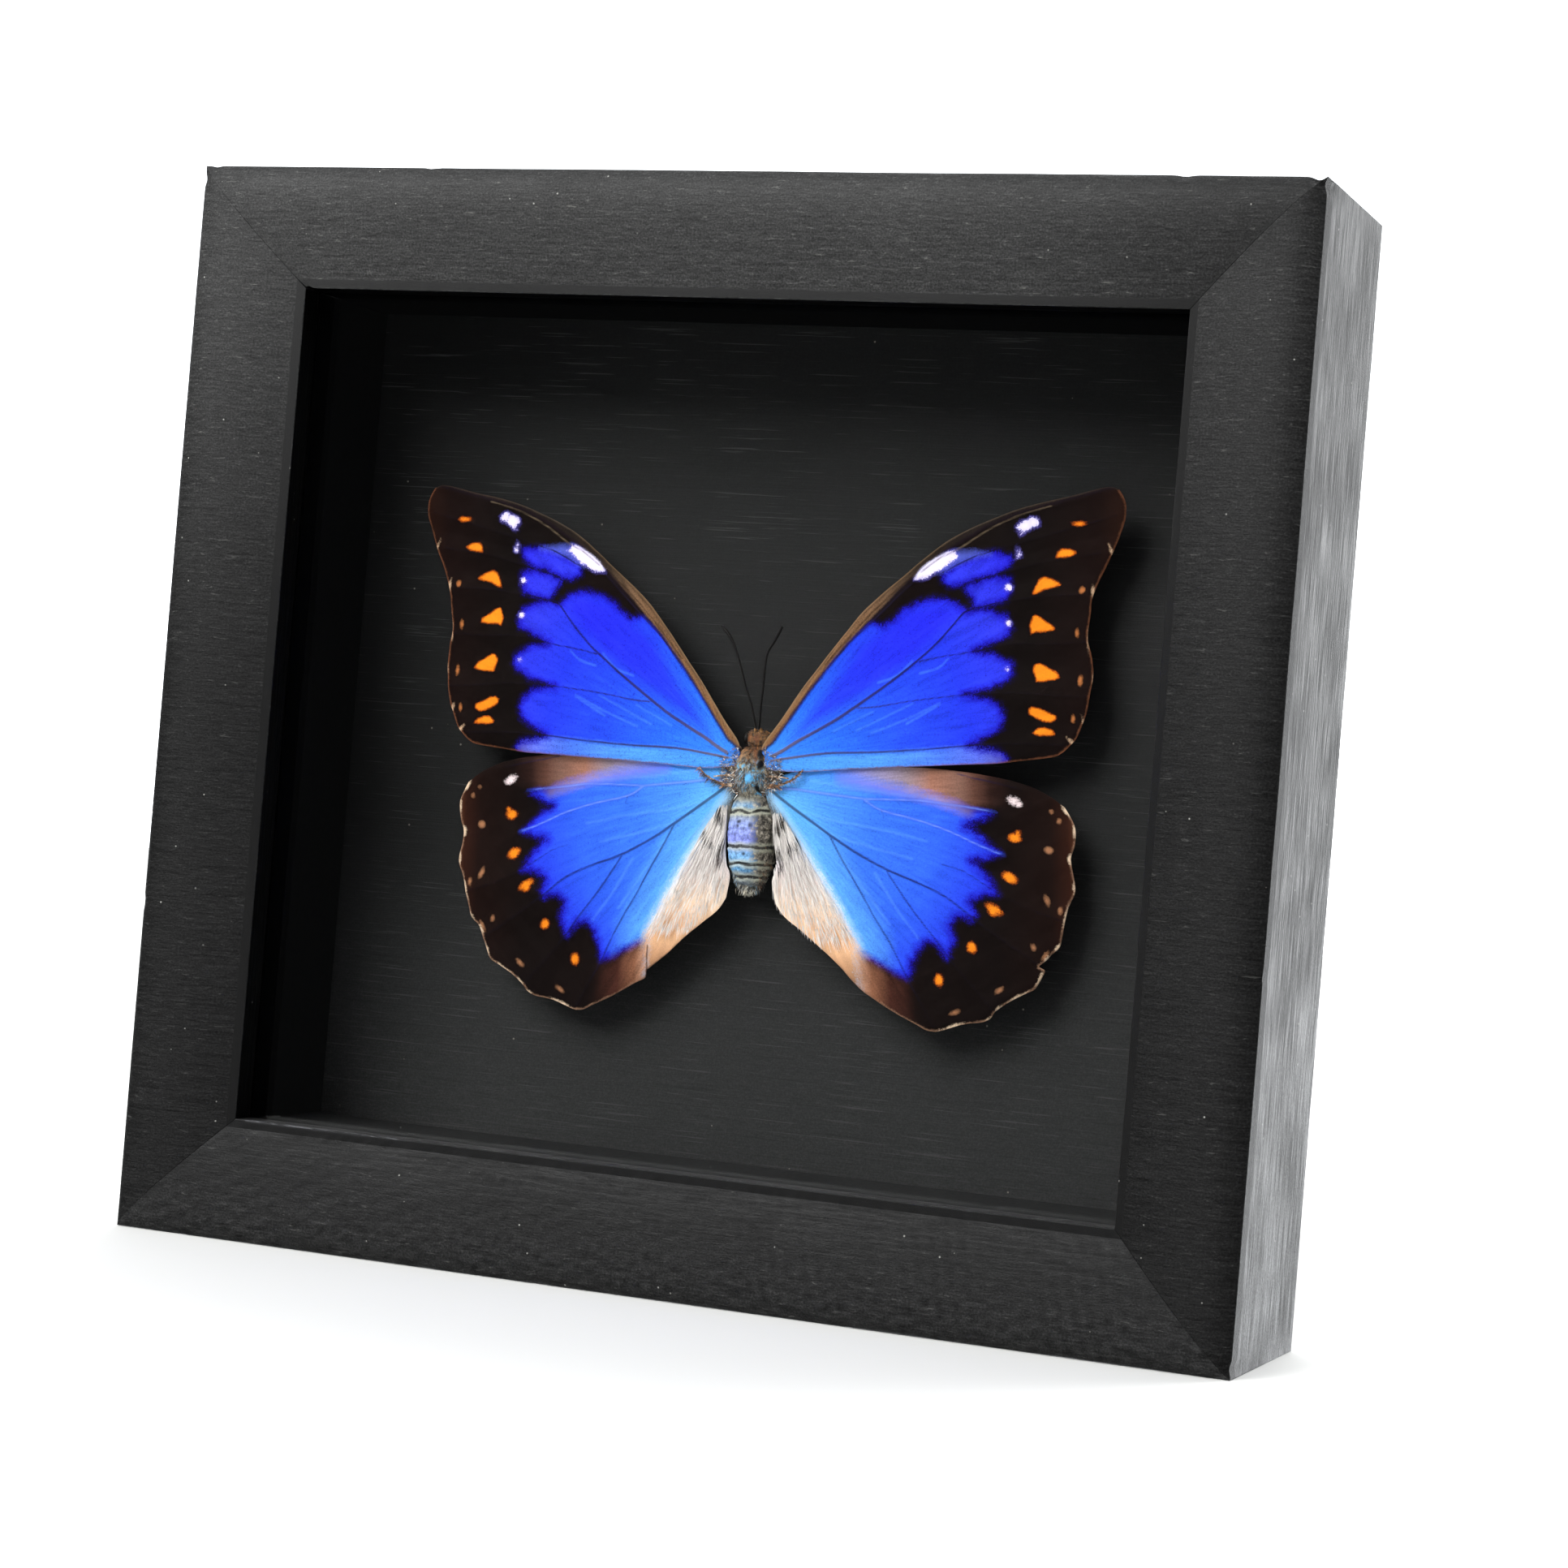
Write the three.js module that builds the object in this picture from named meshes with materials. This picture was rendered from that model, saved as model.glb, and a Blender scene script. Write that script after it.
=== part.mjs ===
// A butterfly mounted in a black wooden shadow-box frame. Millimetres, +Z up, the front looks to -Y.
// The origin is the middle of the bottom of the whole frame.
import * as THREE from 'three';

// Frame. Depths count back from the outer front edge of the rails.
const WIDTH = 220;
const HEIGHT = 205;
const DEPTH = 42.5;
const FACE = 23; // width of a rail, seen from the front
const CROWN = 5; // how far the domed face stands forward of the outer edge
const LIP_EDGE = -0.5; // depth of the face at the opening
const LIP_BACK = 5;
const REBATE = 6; // width of the step behind the lip
const MITRE_GAP = 0.1; // taken off each end of a rail
const GAP = 0.3; // between pieces that lie against each other
const CROWN_STEPS = 14;

// Layers in the rebate, from the front.
const GLASS = 2;
const SPACER = 5;
const BOARD_FRONT = 35;
const BOARD = 2;
const PANEL = 2.5;
const REBATE_WIDTH = WIDTH - 2 * (FACE - REBATE);
const REBATE_HEIGHT = HEIGHT - 2 * (FACE - REBATE);
const GLASS_FRONT = LIP_BACK + GAP;
const SPACER_FRONT = GLASS_FRONT + GLASS + GAP;
const SPACER_DEPTH = BOARD_FRONT - GAP - SPACER_FRONT;
const PANEL_FRONT = BOARD_FRONT + BOARD + GAP;
const PANEL_BACK = PANEL_FRONT + PANEL;

// Fixings on the back.
const POINT = { length: 14, width: 6, thickness: 0.6 };
const POINT_SPREAD = 50; // from the middle, along the top and bottom
const HANGER = { length: 44, width: 9, thickness: 0.8, drop: 22, teeth: 11, toothHeight: 1.6 };
const NAIL = { inset: 4, head: 1.7, dome: 0.7, shank: 0.6, hole: 0.9 };

// Specimen. Its own frame has x outward, z towards the head and its origin in the thorax.
const SPECIMEN_X = 2;
const SPECIMEN_Z = 97;
const SPECIMEN_TURN = 2.6; // degrees, right wings up
const FOREWING_FRONT = 26;
const HINDWING_FRONT = 27;
const WING = 0.5; // thickness
const BODY_X = -0.5;
const BODY_DEPTH = 29.4;
const BODY_FLATTEN = 0.95; // front to back over side to side, in the abdomen
const HEAD = { x: 2.4, y: 2.3, z: 1.6 }; // half sizes, as for the thorax
const HEAD_UP = 6.4;
const THORAX = { x: 3.2, y: 5.2, z: 4.5 };
const ANTENNA_RADIUS = 0.25;
const ANTENNA_DEPTH = 26.4;

const FOREWING = {
  root: [3.9, 0.8],
  costa: [[3.7, 5.2], [6.3, 10.4], [13.3, 19.8], [21.4, 30.4], [29.4, 38.2], [39.9, 45.7], [50.2, 50.5],
    [60.9, 52.8], [68.4, 54.3]],
  margin: [[70.5, 52.8], [70.8, 48.5], [68.8, 42.2], [65.6, 35.8], [64.7, 30.5], [64.3, 26], [65.2, 20.5],
    [64.9, 15.5], [63.4, 10], [61, 5.8], [57.5, 3.8]],
  hindEdge: [[50, 2.6], [34, 1.7], [20, 0.7], [9, 0.2]],
};
const HINDWING = {
  root: [4.4, -5.2],
  costa: [[4.2, -1.6], [9, 0.6], [20, 2.6], [32, 3], [42, 2.2], [49.4, 1], [55.9, -1], [59.9, -4.3]],
  margin: [[61.6, -8], [61.2, -11.3], [60.7, -14.4], [61.2, -18], [60.5, -21], [59.2, -25.4], [58.2, -29.6],
    [56.1, -31.9], [54.6, -35.5], [53.3, -38.2], [50, -39.6], [46.8, -41.8], [44.3, -44.2], [40.3, -45],
    [34.8, -46.7]],
  hindEdge: [[30, -45], [25, -42.6], [20.6, -39.8], [13.7, -32.9], [6.6, -26.9], [4.6, -24.2], [4.3, -20.5],
    [5.1, -17], [5.4, -13], [5.2, -9]],
};
// The right wings dried in a slightly different shape: each row gives x or z of a point of theirs.
const RIGHT_SET = {
  forewing: [[1.03, -0.026, -0.6], [0.016, 0.973, -0.4]],
  hindwing: [[1.033, -0.063, -0.6], [0, 0.978, -1.3]],
};
const ABDOMEN = [[0, -4.8], [2.6, -5.3], [3.9, -7.2], [4.5, -11], [4.4, -14.5], [3.9, -18], [2.8, -20.8],
  [1.3, -22.5], [0, -22.9]];
const ANTENNAE = {
  antenna_left: [[-0.3, 9.4], [-1.2, 12.5], [-2.2, 15.6], [-3.1, 19], [-4.2, 22.6], [-5.4, 25.2], [-7, 27.3]],
  antenna_right: [[0.5, 9.4], [0.8, 12.5], [1.3, 15.6], [1.7, 19.5], [2.1, 22.3], [3.6, 24.7], [5.2, 27.4]],
};

const finishes = {
  paintedWood: () => new THREE.MeshStandardMaterial({ color: 0x2b2c2c, roughness: 0.6 }),
  glass: () => new THREE.MeshStandardMaterial({ color: 0xdfe8e6, roughness: 0.02, transparent: true, opacity: 0.2 }),
  blackBoard: () => new THREE.MeshStandardMaterial({ color: 0x232324, roughness: 0.85 }),
  fibreboard: () => new THREE.MeshStandardMaterial({ color: 0x8a6a48, roughness: 0.9 }),
  steel: () => new THREE.MeshStandardMaterial({ color: 0xa8a8a4, roughness: 0.35, metalness: 1 }),
  wing: () => new THREE.MeshStandardMaterial({ color: 0x2547e6, roughness: 0.45 }),
  body: () => new THREE.MeshStandardMaterial({ color: 0x6f8296, roughness: 0.9 }),
  antenna: () => new THREE.MeshStandardMaterial({ color: 0x15110e, roughness: 0.6 }),
};

const object = new THREE.Group();

function piece(name, geometry, material, parent = object) {
  const mesh = new THREE.Mesh(geometry, material);
  mesh.name = name;
  parent.add(mesh);
  return mesh;
}

// A slab in the frame's plane, by its size, its front depth and the middle of its face.
function slab(name, width, height, front, thickness, material, x = 0, z = HEIGHT / 2) {
  const mesh = piece(name, new THREE.BoxGeometry(width, thickness, height), material);
  mesh.position.set(x, front + thickness / 2, z);
  return mesh;
}

// A flat outline in x and z, with its front at the given depth.
function plate(name, shape, front, thickness, material, parent = object, curveSegments = 12) {
  const geometry = new THREE.ExtrudeGeometry(shape, { depth: thickness, bevelEnabled: false, curveSegments });
  geometry.rotateX(Math.PI / 2);
  geometry.translate(0, front + thickness, 0);
  return piece(name, geometry, material, parent);
}

// Section of a rail: x is the distance in from the outer side, y the depth.
function railSection() {
  const pull = -CROWN * 1.3;
  const face = new THREE.CubicBezierCurve(
    new THREE.Vector2(0, 0),
    new THREE.Vector2(FACE * 0.065, pull),
    new THREE.Vector2(FACE * 0.41, pull),
    new THREE.Vector2(FACE, LIP_EDGE),
  );
  return [
    ...face.getPoints(CROWN_STEPS),
    new THREE.Vector2(FACE, LIP_BACK),
    new THREE.Vector2(FACE - REBATE, LIP_BACK),
    new THREE.Vector2(FACE - REBATE, DEPTH),
    new THREE.Vector2(0, DEPTH),
  ];
}

// A rail along x with its outer side at z = 0, growing down, both ends cut at 45 degrees.
function railGeometry(section, length) {
  const positions = [];
  for (const end of [-1, 1]) {
    for (const point of section) {
      positions.push(end * (length / 2 - point.x - MITRE_GAP), point.y, -point.x);
    }
  }
  const count = section.length;
  const faces = [];
  for (let i = 0; i < count; i += 1) {
    const next = (i + 1) % count;
    faces.push(i, next, count + i, next, count + next, count + i);
  }
  for (const [a, b, c] of THREE.ShapeUtils.triangulateShape(section, [])) {
    faces.push(c, b, a, count + a, count + b, count + c);
  }
  const geometry = new THREE.BufferGeometry();
  geometry.setAttribute('position', new THREE.Float32BufferAttribute(positions, 3));
  geometry.setIndex(faces);
  return geometry;
}

function addRails(section) {
  const rails = [
    ['rail_top', WIDTH, 0, 0, HEIGHT],
    ['rail_bottom', WIDTH, 180, 0, 0],
    ['rail_left', HEIGHT, -90, -WIDTH / 2, HEIGHT / 2],
    ['rail_right', HEIGHT, 90, WIDTH / 2, HEIGHT / 2],
  ];
  for (const [name, length, turn, x, z] of rails) {
    const rail = piece(name, railGeometry(section, length), finishes.paintedWood());
    rail.rotation.y = THREE.MathUtils.degToRad(turn);
    rail.position.set(x, 0, z);
  }
}

function addLayers() {
  const width = REBATE_WIDTH - 2 * GAP;
  const height = REBATE_HEIGHT - 2 * GAP;
  slab('glass_pane', width, height, GLASS_FRONT, GLASS, finishes.glass());
  slab('backing_board', width, height, BOARD_FRONT, BOARD, finishes.blackBoard());
  slab('back_panel', width, height, PANEL_FRONT, PANEL, finishes.fibreboard());

  const strip = (name, w, h, x, z) => slab(
    name, w, h, SPACER_FRONT, SPACER_DEPTH, finishes.blackBoard(), x, HEIGHT / 2 + z,
  );
  const sideX = (width - SPACER) / 2;
  const sideZ = (height - SPACER) / 2;
  const upright = height - 2 * (SPACER + GAP);
  strip('spacer_top', width, SPACER, 0, sideZ);
  strip('spacer_bottom', width, SPACER, 0, -sideZ);
  strip('spacer_left', SPACER, upright, -sideX, 0);
  strip('spacer_right', SPACER, upright, sideX, 0);
}

// A flat tab with a round free end. It starts at the rebate wall and points into the opening.
function addPoint(name, x, z, turn) {
  const { length, width, thickness } = POINT;
  const shape = new THREE.Shape();
  shape.moveTo(GAP, -width / 2);
  shape.lineTo(length - width / 2, -width / 2);
  shape.absarc(length - width / 2, 0, width / 2, -Math.PI / 2, Math.PI / 2);
  shape.lineTo(GAP, width / 2);
  const tab = plate(name, shape, PANEL_BACK + GAP, thickness, finishes.steel());
  tab.rotation.y = THREE.MathUtils.degToRad(turn);
  tab.position.set(x, 0, z);
}

function addPoints() {
  const top = HEIGHT - (FACE - REBATE);
  const bottom = FACE - REBATE;
  const side = REBATE_WIDTH / 2;
  addPoint('point_top_left', -POINT_SPREAD, top, 90);
  addPoint('point_top_right', POINT_SPREAD, top, 90);
  addPoint('point_bottom_left', -POINT_SPREAD, bottom, -90);
  addPoint('point_bottom_right', POINT_SPREAD, bottom, -90);
  addPoint('point_left', -side, HEIGHT / 2, 0);
  addPoint('point_right', side, HEIGHT / 2, 180);
}

// A steel strip with teeth along the lower edge of its middle, nailed at both ends.
function addHanger() {
  const { length, width, thickness, drop, teeth, toothHeight } = HANGER;
  const middle = HEIGHT - (FACE - REBATE) - drop;
  const toothed = length - 4 * NAIL.inset;
  const pitch = toothed / teeth;
  const shape = new THREE.Shape();
  shape.moveTo(-length / 2, -width / 2);
  shape.lineTo(-toothed / 2, -width / 2);
  for (let i = 0; i < teeth; i += 1) {
    const left = -toothed / 2 + i * pitch;
    shape.lineTo(left + pitch / 2, -width / 2 + toothHeight);
    shape.lineTo(left + pitch, -width / 2);
  }
  shape.lineTo(length / 2, -width / 2);
  shape.lineTo(length / 2, width / 2);
  shape.lineTo(-length / 2, width / 2);
  const nailX = length / 2 - NAIL.inset;
  for (const x of [-nailX, nailX]) {
    const hole = new THREE.Path();
    hole.absarc(x, 0, NAIL.hole, 0, 2 * Math.PI);
    shape.holes.push(hole);
  }
  const plateFront = PANEL_BACK + GAP;
  plate('hanger', shape, plateFront, thickness, finishes.steel()).position.z = middle;
  addNail('hanger_nail_left', -nailX, plateFront, middle);
  addNail('hanger_nail_right', nailX, plateFront, middle);
}

// Domed head on a short shank, turned about the nail's own axis.
function addNail(name, x, front, z) {
  const seat = HANGER.thickness + GAP;
  const outline = [
    [0, 0], [NAIL.shank, 0], [NAIL.shank, seat], [NAIL.head, seat], [NAIL.head * 0.85, seat + NAIL.dome * 0.6],
    [NAIL.head * 0.45, seat + NAIL.dome * 0.95], [0, seat + NAIL.dome],
  ];
  const geometry = new THREE.LatheGeometry(outline.map(([r, h]) => new THREE.Vector2(r, h)), 16);
  piece(name, geometry, finishes.steel()).position.set(x, front, z);
}

// Outline of a wing: corners at the root, one smooth curve round the rest.
function wingShape({ root, costa, margin, hindEdge }, set) {
  const place = ([x, z]) => new THREE.Vector2(x, z).applyMatrix3(set);
  const start = place(root);
  const corner = place(costa[0]);
  const shape = new THREE.Shape();
  shape.moveTo(start.x, start.y);
  shape.lineTo(corner.x, corner.y);
  shape.splineThru([...costa.slice(1), ...margin, ...hindEdge].map(place));
  return shape;
}

function addWings(specimen) {
  const mirror = new THREE.Matrix3().makeScale(-1, 1);
  const wings = { forewing: [FOREWING, FOREWING_FRONT], hindwing: [HINDWING, HINDWING_FRONT] };
  for (const [name, [outline, front]] of Object.entries(wings)) {
    const set = new THREE.Matrix3().set(...RIGHT_SET[name].flat(), 0, 0, 1);
    plate(`${name}_left`, wingShape(outline, mirror), front, WING, finishes.wing(), specimen, 3);
    plate(`${name}_right`, wingShape(outline, set), front, WING, finishes.wing(), specimen, 3);
  }
}

function addBody(specimen) {
  const ball = (name, half, z) => {
    const geometry = new THREE.SphereGeometry(1, 20, 12);
    geometry.scale(half.x, half.y, half.z);
    piece(name, geometry, finishes.body(), specimen).position.set(BODY_X, BODY_DEPTH, z);
  };
  ball('head', HEAD, HEAD_UP);
  ball('thorax', THORAX, 0);

  const outline = ABDOMEN.map(([radius, z]) => new THREE.Vector2(radius, -z));
  const abdomenGeometry = new THREE.LatheGeometry(outline, 20);
  abdomenGeometry.rotateX(-Math.PI / 2);
  abdomenGeometry.scale(1, BODY_FLATTEN, 1);
  piece('abdomen', abdomenGeometry, finishes.body(), specimen).position.set(BODY_X, BODY_DEPTH, 0);
}

function addAntennae(specimen) {
  for (const [name, route] of Object.entries(ANTENNAE)) {
    const path = new THREE.CatmullRomCurve3(route.map(([x, z]) => new THREE.Vector3(x, ANTENNA_DEPTH, z)));
    const section = new THREE.Shape();
    section.absarc(0, 0, ANTENNA_RADIUS, 0, 2 * Math.PI);
    const geometry = new THREE.ExtrudeGeometry(section, { extrudePath: path, steps: 16, curveSegments: 4 });
    piece(name, geometry, finishes.antenna(), specimen);
  }
}

function addSpecimen() {
  const specimen = new THREE.Group();
  specimen.position.set(SPECIMEN_X, 0, SPECIMEN_Z);
  specimen.rotation.y = THREE.MathUtils.degToRad(-SPECIMEN_TURN);
  object.add(specimen);
  addWings(specimen);
  addBody(specimen);
  addAntennae(specimen);
}

const section = railSection();
addRails(section);
addLayers();
addPoints();
addHanger();
addSpecimen();

// The crest of the domed face and the flat back lie equally far from the origin.
const crest = Math.min(...section.map((point) => point.y));
object.position.y = -(DEPTH + crest) / 2;

export default object;
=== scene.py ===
"""A blue butterfly in a black wooden shadow-box frame: surfaces, scales, hair and light.

Lengths in this file are millimetres unless a name says otherwise, and meshes are written in metres.
The specimen has a frame of its own: x outward from the body, z towards the head, drawn for one side
and mirrored for the other.
"""
import math

import bpy
import numpy as np
from mathutils import Matrix, Vector


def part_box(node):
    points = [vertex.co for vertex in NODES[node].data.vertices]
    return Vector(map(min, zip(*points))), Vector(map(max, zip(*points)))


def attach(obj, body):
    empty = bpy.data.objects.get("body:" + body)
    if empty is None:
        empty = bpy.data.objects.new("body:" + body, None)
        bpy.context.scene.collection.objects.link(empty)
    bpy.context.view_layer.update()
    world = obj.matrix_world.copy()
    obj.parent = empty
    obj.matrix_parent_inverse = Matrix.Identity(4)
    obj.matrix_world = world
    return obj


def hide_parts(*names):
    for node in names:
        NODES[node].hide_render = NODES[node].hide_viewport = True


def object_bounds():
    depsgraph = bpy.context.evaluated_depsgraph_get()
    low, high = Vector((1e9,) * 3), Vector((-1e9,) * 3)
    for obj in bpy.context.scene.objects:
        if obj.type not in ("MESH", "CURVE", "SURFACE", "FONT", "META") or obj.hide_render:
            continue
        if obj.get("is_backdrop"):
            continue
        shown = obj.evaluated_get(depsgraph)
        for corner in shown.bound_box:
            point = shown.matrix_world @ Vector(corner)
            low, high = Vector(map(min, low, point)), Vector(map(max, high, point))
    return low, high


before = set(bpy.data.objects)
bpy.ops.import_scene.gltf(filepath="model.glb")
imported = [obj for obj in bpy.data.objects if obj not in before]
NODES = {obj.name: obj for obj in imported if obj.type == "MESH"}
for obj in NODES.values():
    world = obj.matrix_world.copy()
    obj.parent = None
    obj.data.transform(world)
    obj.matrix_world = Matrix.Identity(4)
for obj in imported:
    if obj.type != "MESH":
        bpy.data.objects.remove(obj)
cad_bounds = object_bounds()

bl_info = {
    "name": "Framed Butterfly",
    "version": (1, 0, 0),
    "blender": (4, 5, 0),
    "location": "3D View > Sidebar > Specimen",
    "description": "Builds the visible surfaces of a framed butterfly specimen",
    "category": "Object",
}

MM = 0.001

# Where the specimen sits, as in the frame.
SPECIMEN_X = 2.0
SPECIMEN_Z = 97.0
SPECIMEN_TURN = 2.6  # degrees, right wings up
BODY_X = 0.1
HEAD_X = 0.5
ABDOMEN_X = -0.2

# The right wings dried in a slightly different shape: each row gives x or z of a point of theirs.
RIGHT_SET = {
    "forewing": ((1.03, -0.026, -0.6), (0.016, 0.973, -0.4)),
    "hindwing": ((1.033, -0.063, -0.6), (0.0, 0.978, -1.3)),
}


# ---------------------------------------------------------------- colour, nodes and meshes


def srgb(value):
    """An sRGB hex colour as linear red, green and blue, and an alpha of one."""
    parts = [int(value[i:i + 2], 16) / 255 for i in (1, 3, 5)]
    linear = [c / 12.92 if c <= 0.04045 else ((c + 0.055) / 1.055) ** 2.4 for c in parts]
    return (*linear, 1.0)


def add(tree, kind, *values, out=None, stops=(), **named):
    """Adds a node and returns one output. Values go to its inputs in order. A name with a capital is
    an input, with underscores for spaces. Any other name is a setting. stops fill a ramp."""
    node = tree.nodes.new("ShaderNode" + kind)
    for key, value in named.items():
        if key[0].islower():
            setattr(node, key, value)
    given = list(zip(node.inputs, values))
    for key, value in named.items():
        if key[0].isupper():
            title = key.replace("_", " ")
            given.append((next(s for s in node.inputs if s.enabled and s.name == title), value))
    for socket, value in given:
        if isinstance(value, bpy.types.NodeSocket):
            tree.links.new(value, socket)
        else:
            socket.default_value = srgb(value) if isinstance(value, str) else value
    elements = node.color_ramp.elements if stops else ()
    for index, (position, colour) in enumerate(stops):
        element = elements[index] if index < 2 else elements.new(position)
        element.position = position
        element.color = srgb(colour)
    if out:
        return node.outputs[out]
    return next(s for s in node.outputs if s.enabled)


def ramp(tree, value, low, high, *stops):
    """Colours along a value, which runs from low to high."""
    return add(
        tree, "ValToRGB",
        Fac=add(tree, "MapRange", Value=value, From_Min=float(low), From_Max=float(high)), stops=stops)


def surface(name):
    """A new material and its tree, with the first nodes taken out."""
    material = bpy.data.materials.new(name)
    material.use_nodes = True
    material.node_tree.nodes.clear()
    return material, material.node_tree


def finish_surface(tree, **inputs):
    """Ends a material in one Principled shader."""
    shader = add(tree, "BsdfPrincipled", **inputs)
    output = tree.nodes.new("ShaderNodeOutputMaterial")
    tree.links.new(shader, output.inputs["Surface"])


def piece(name, vertices, faces, material, stands_for=(), marks=None, sharp=None):
    """A mesh object from millimetre points. marks are point attributes, numbers or vectors."""
    mesh = bpy.data.meshes.new(name)
    mesh.from_pydata((np.asarray(vertices, float) * MM).tolist(), [], [tuple(f) for f in faces])
    mesh.polygons.foreach_set("use_smooth", np.ones(len(mesh.polygons), bool))
    if sharp:
        mesh.set_sharp_from_angle(angle=math.radians(sharp))
    for key, values in (marks or {}).items():
        values = np.asarray(values, np.float32)
        vector = values.ndim == 2
        layer = mesh.attributes.new(key, "FLOAT_VECTOR" if vector else "FLOAT", "POINT")
        layer.data.foreach_set("vector" if vector else "value", values.ravel())
    mesh.update()
    mesh.validate()
    mesh.materials.append(material)
    obj = bpy.data.objects.new(name, mesh)
    bpy.context.scene.collection.objects.link(obj)
    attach(obj, "root")
    if stands_for:
        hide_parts(*stands_for)
    return obj


def finish_node(name, material, bevel=0.0):
    """Gives a piece of the frame its material, and eases its edges."""
    obj = NODES[name]
    obj.data.materials.clear()
    obj.data.materials.append(material)
    if bevel:
        ease = obj.modifiers.new("eased edges", "BEVEL")
        ease.width = bevel * MM
        ease.segments = 3
        ease.limit_method = "ANGLE"
        ease.angle_limit = math.radians(50)
    return obj


# ---------------------------------------------------------------- curves, fields and strands


WAVES = 9  # in a ripple


def smooth(points, pieces=5):
    """A curve through the points, with this many pieces between two of them."""
    p = np.asarray(points, float)
    p = np.vstack([2 * p[0] - p[1], p, 2 * p[-1] - p[-2]])
    t = np.linspace(0, 1, pieces, endpoint=False)[:, None, None]
    a, b, c, d = p[:-3], p[1:-2], p[2:-1], p[3:]
    curve = 0.5 * (
        2 * b + (c - a) * t + (2 * a - 5 * b + 4 * c - d) * t**2 + (3 * b - a - 3 * c + d) * t**3)
    return np.vstack([curve.transpose(1, 0, 2).reshape(-1, p.shape[1]), p[-2]])


def spaced(points, count):
    """The same curve with evenly spaced points."""
    p = np.asarray(points, float)
    run = np.r_[0, np.cumsum(np.linalg.norm(np.diff(p, axis=0), axis=1))]
    at = np.linspace(0, run[-1], count)
    return np.stack([np.interp(at, run, p[:, k]) for k in range(p.shape[1])], axis=1)


def patch(lower, upper, root, tip):
    """A grid of points that fills the space between four edges."""
    u = np.linspace(0, 1, len(lower))[:, None, None]
    v = np.linspace(0, 1, len(root))[None, :, None]
    below = (1 - u) * (1 - v) * lower[0] + u * (1 - v) * lower[-1]
    corners = below + (1 - u) * v * upper[0] + u * v * upper[-1]
    across = (1 - v) * lower[:, None] + v * upper[:, None]
    return across + (1 - u) * root[None] + u * tip[None] - corners


def to_line(points, line, start=0.0, end=0.0):
    """Distance inside a line whose half width runs from start to end. Outside, it is negative."""
    line = np.asarray(line, float)
    run = np.r_[0, np.cumsum(np.linalg.norm(np.diff(line, axis=0), axis=1))] / max(
        np.linalg.norm(np.diff(line, axis=0), axis=1).sum(), 1e-9)
    best = np.full(len(points), -1e9)
    for i in range(len(line) - 1):
        step = line[i + 1] - line[i]
        t = np.clip((points - line[i]) @ step / max(step @ step, 1e-12), 0, 1)
        gap = np.linalg.norm(points - line[i] - t[:, None] * step, axis=1)
        half = start + (end - start) * (run[i] + (run[i + 1] - run[i]) * t)
        best = np.maximum(best, half - gap)
    return best


def to_region(points, outline):
    """Distance inside a closed outline. Outside, it is negative."""
    corners = np.asarray(outline, float)
    gap = -to_line(points, np.vstack([corners, corners[:1]]))
    inside = np.zeros(len(points), bool)
    for a, b in zip(corners, np.roll(corners, -1, axis=0)):
        crosses = (a[1] > points[:, 1]) != (b[1] > points[:, 1])
        rise = b[1] - a[1] if b[1] != a[1] else 1e-9
        inside ^= crosses & (points[:, 0] < (b[0] - a[0]) * (points[:, 1] - a[1]) / rise + a[0])
    return np.where(inside, gap, -gap)


def to_spots(points, spots):
    """Distance inside the nearest of some ovals: x, z, half width, half height and tilt in degrees."""
    best = np.full(len(points), -1e9)
    for x, z, across, up, tilt in spots:
        turn = math.radians(tilt)
        d = points - (x, z)
        along = d[:, 0] * math.cos(turn) + d[:, 1] * math.sin(turn)
        aside = -d[:, 0] * math.sin(turn) + d[:, 1] * math.cos(turn)
        best = np.maximum(best, (1 - np.hypot(along / across, aside / up)) * min(across, up))
    return best


def ripple(points, length, seed):
    """Smooth waves of about this length over a set of points, mostly between -1 and 1."""
    rng = np.random.default_rng(seed)
    points = np.asarray(points, float)
    total = np.zeros(len(points))
    for _ in range(WAVES):
        way = rng.normal(size=points.shape[1])
        way *= 2 * math.pi / (length * rng.uniform(0.6, 1.6) * np.linalg.norm(way))
        total += np.cos(points @ way + rng.uniform(0, 2 * math.pi))
    return total / WAVES**0.5 / 1.2


def grid_faces(rows, columns, close_columns=False):
    """Quads of a grid of points. Its columns can be joined end to end."""
    i = np.arange(rows - 1)[:, None]
    j = np.arange(columns if close_columns else columns - 1)[None, :]
    down, across = i + 1, (j + 1) % columns
    quads = [i * columns + j, down * columns + j, down * columns + across, i * columns + across]
    return np.stack([np.broadcast_to(q, (len(i), j.shape[1])) for q in quads], -1).reshape(-1, 4)


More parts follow.
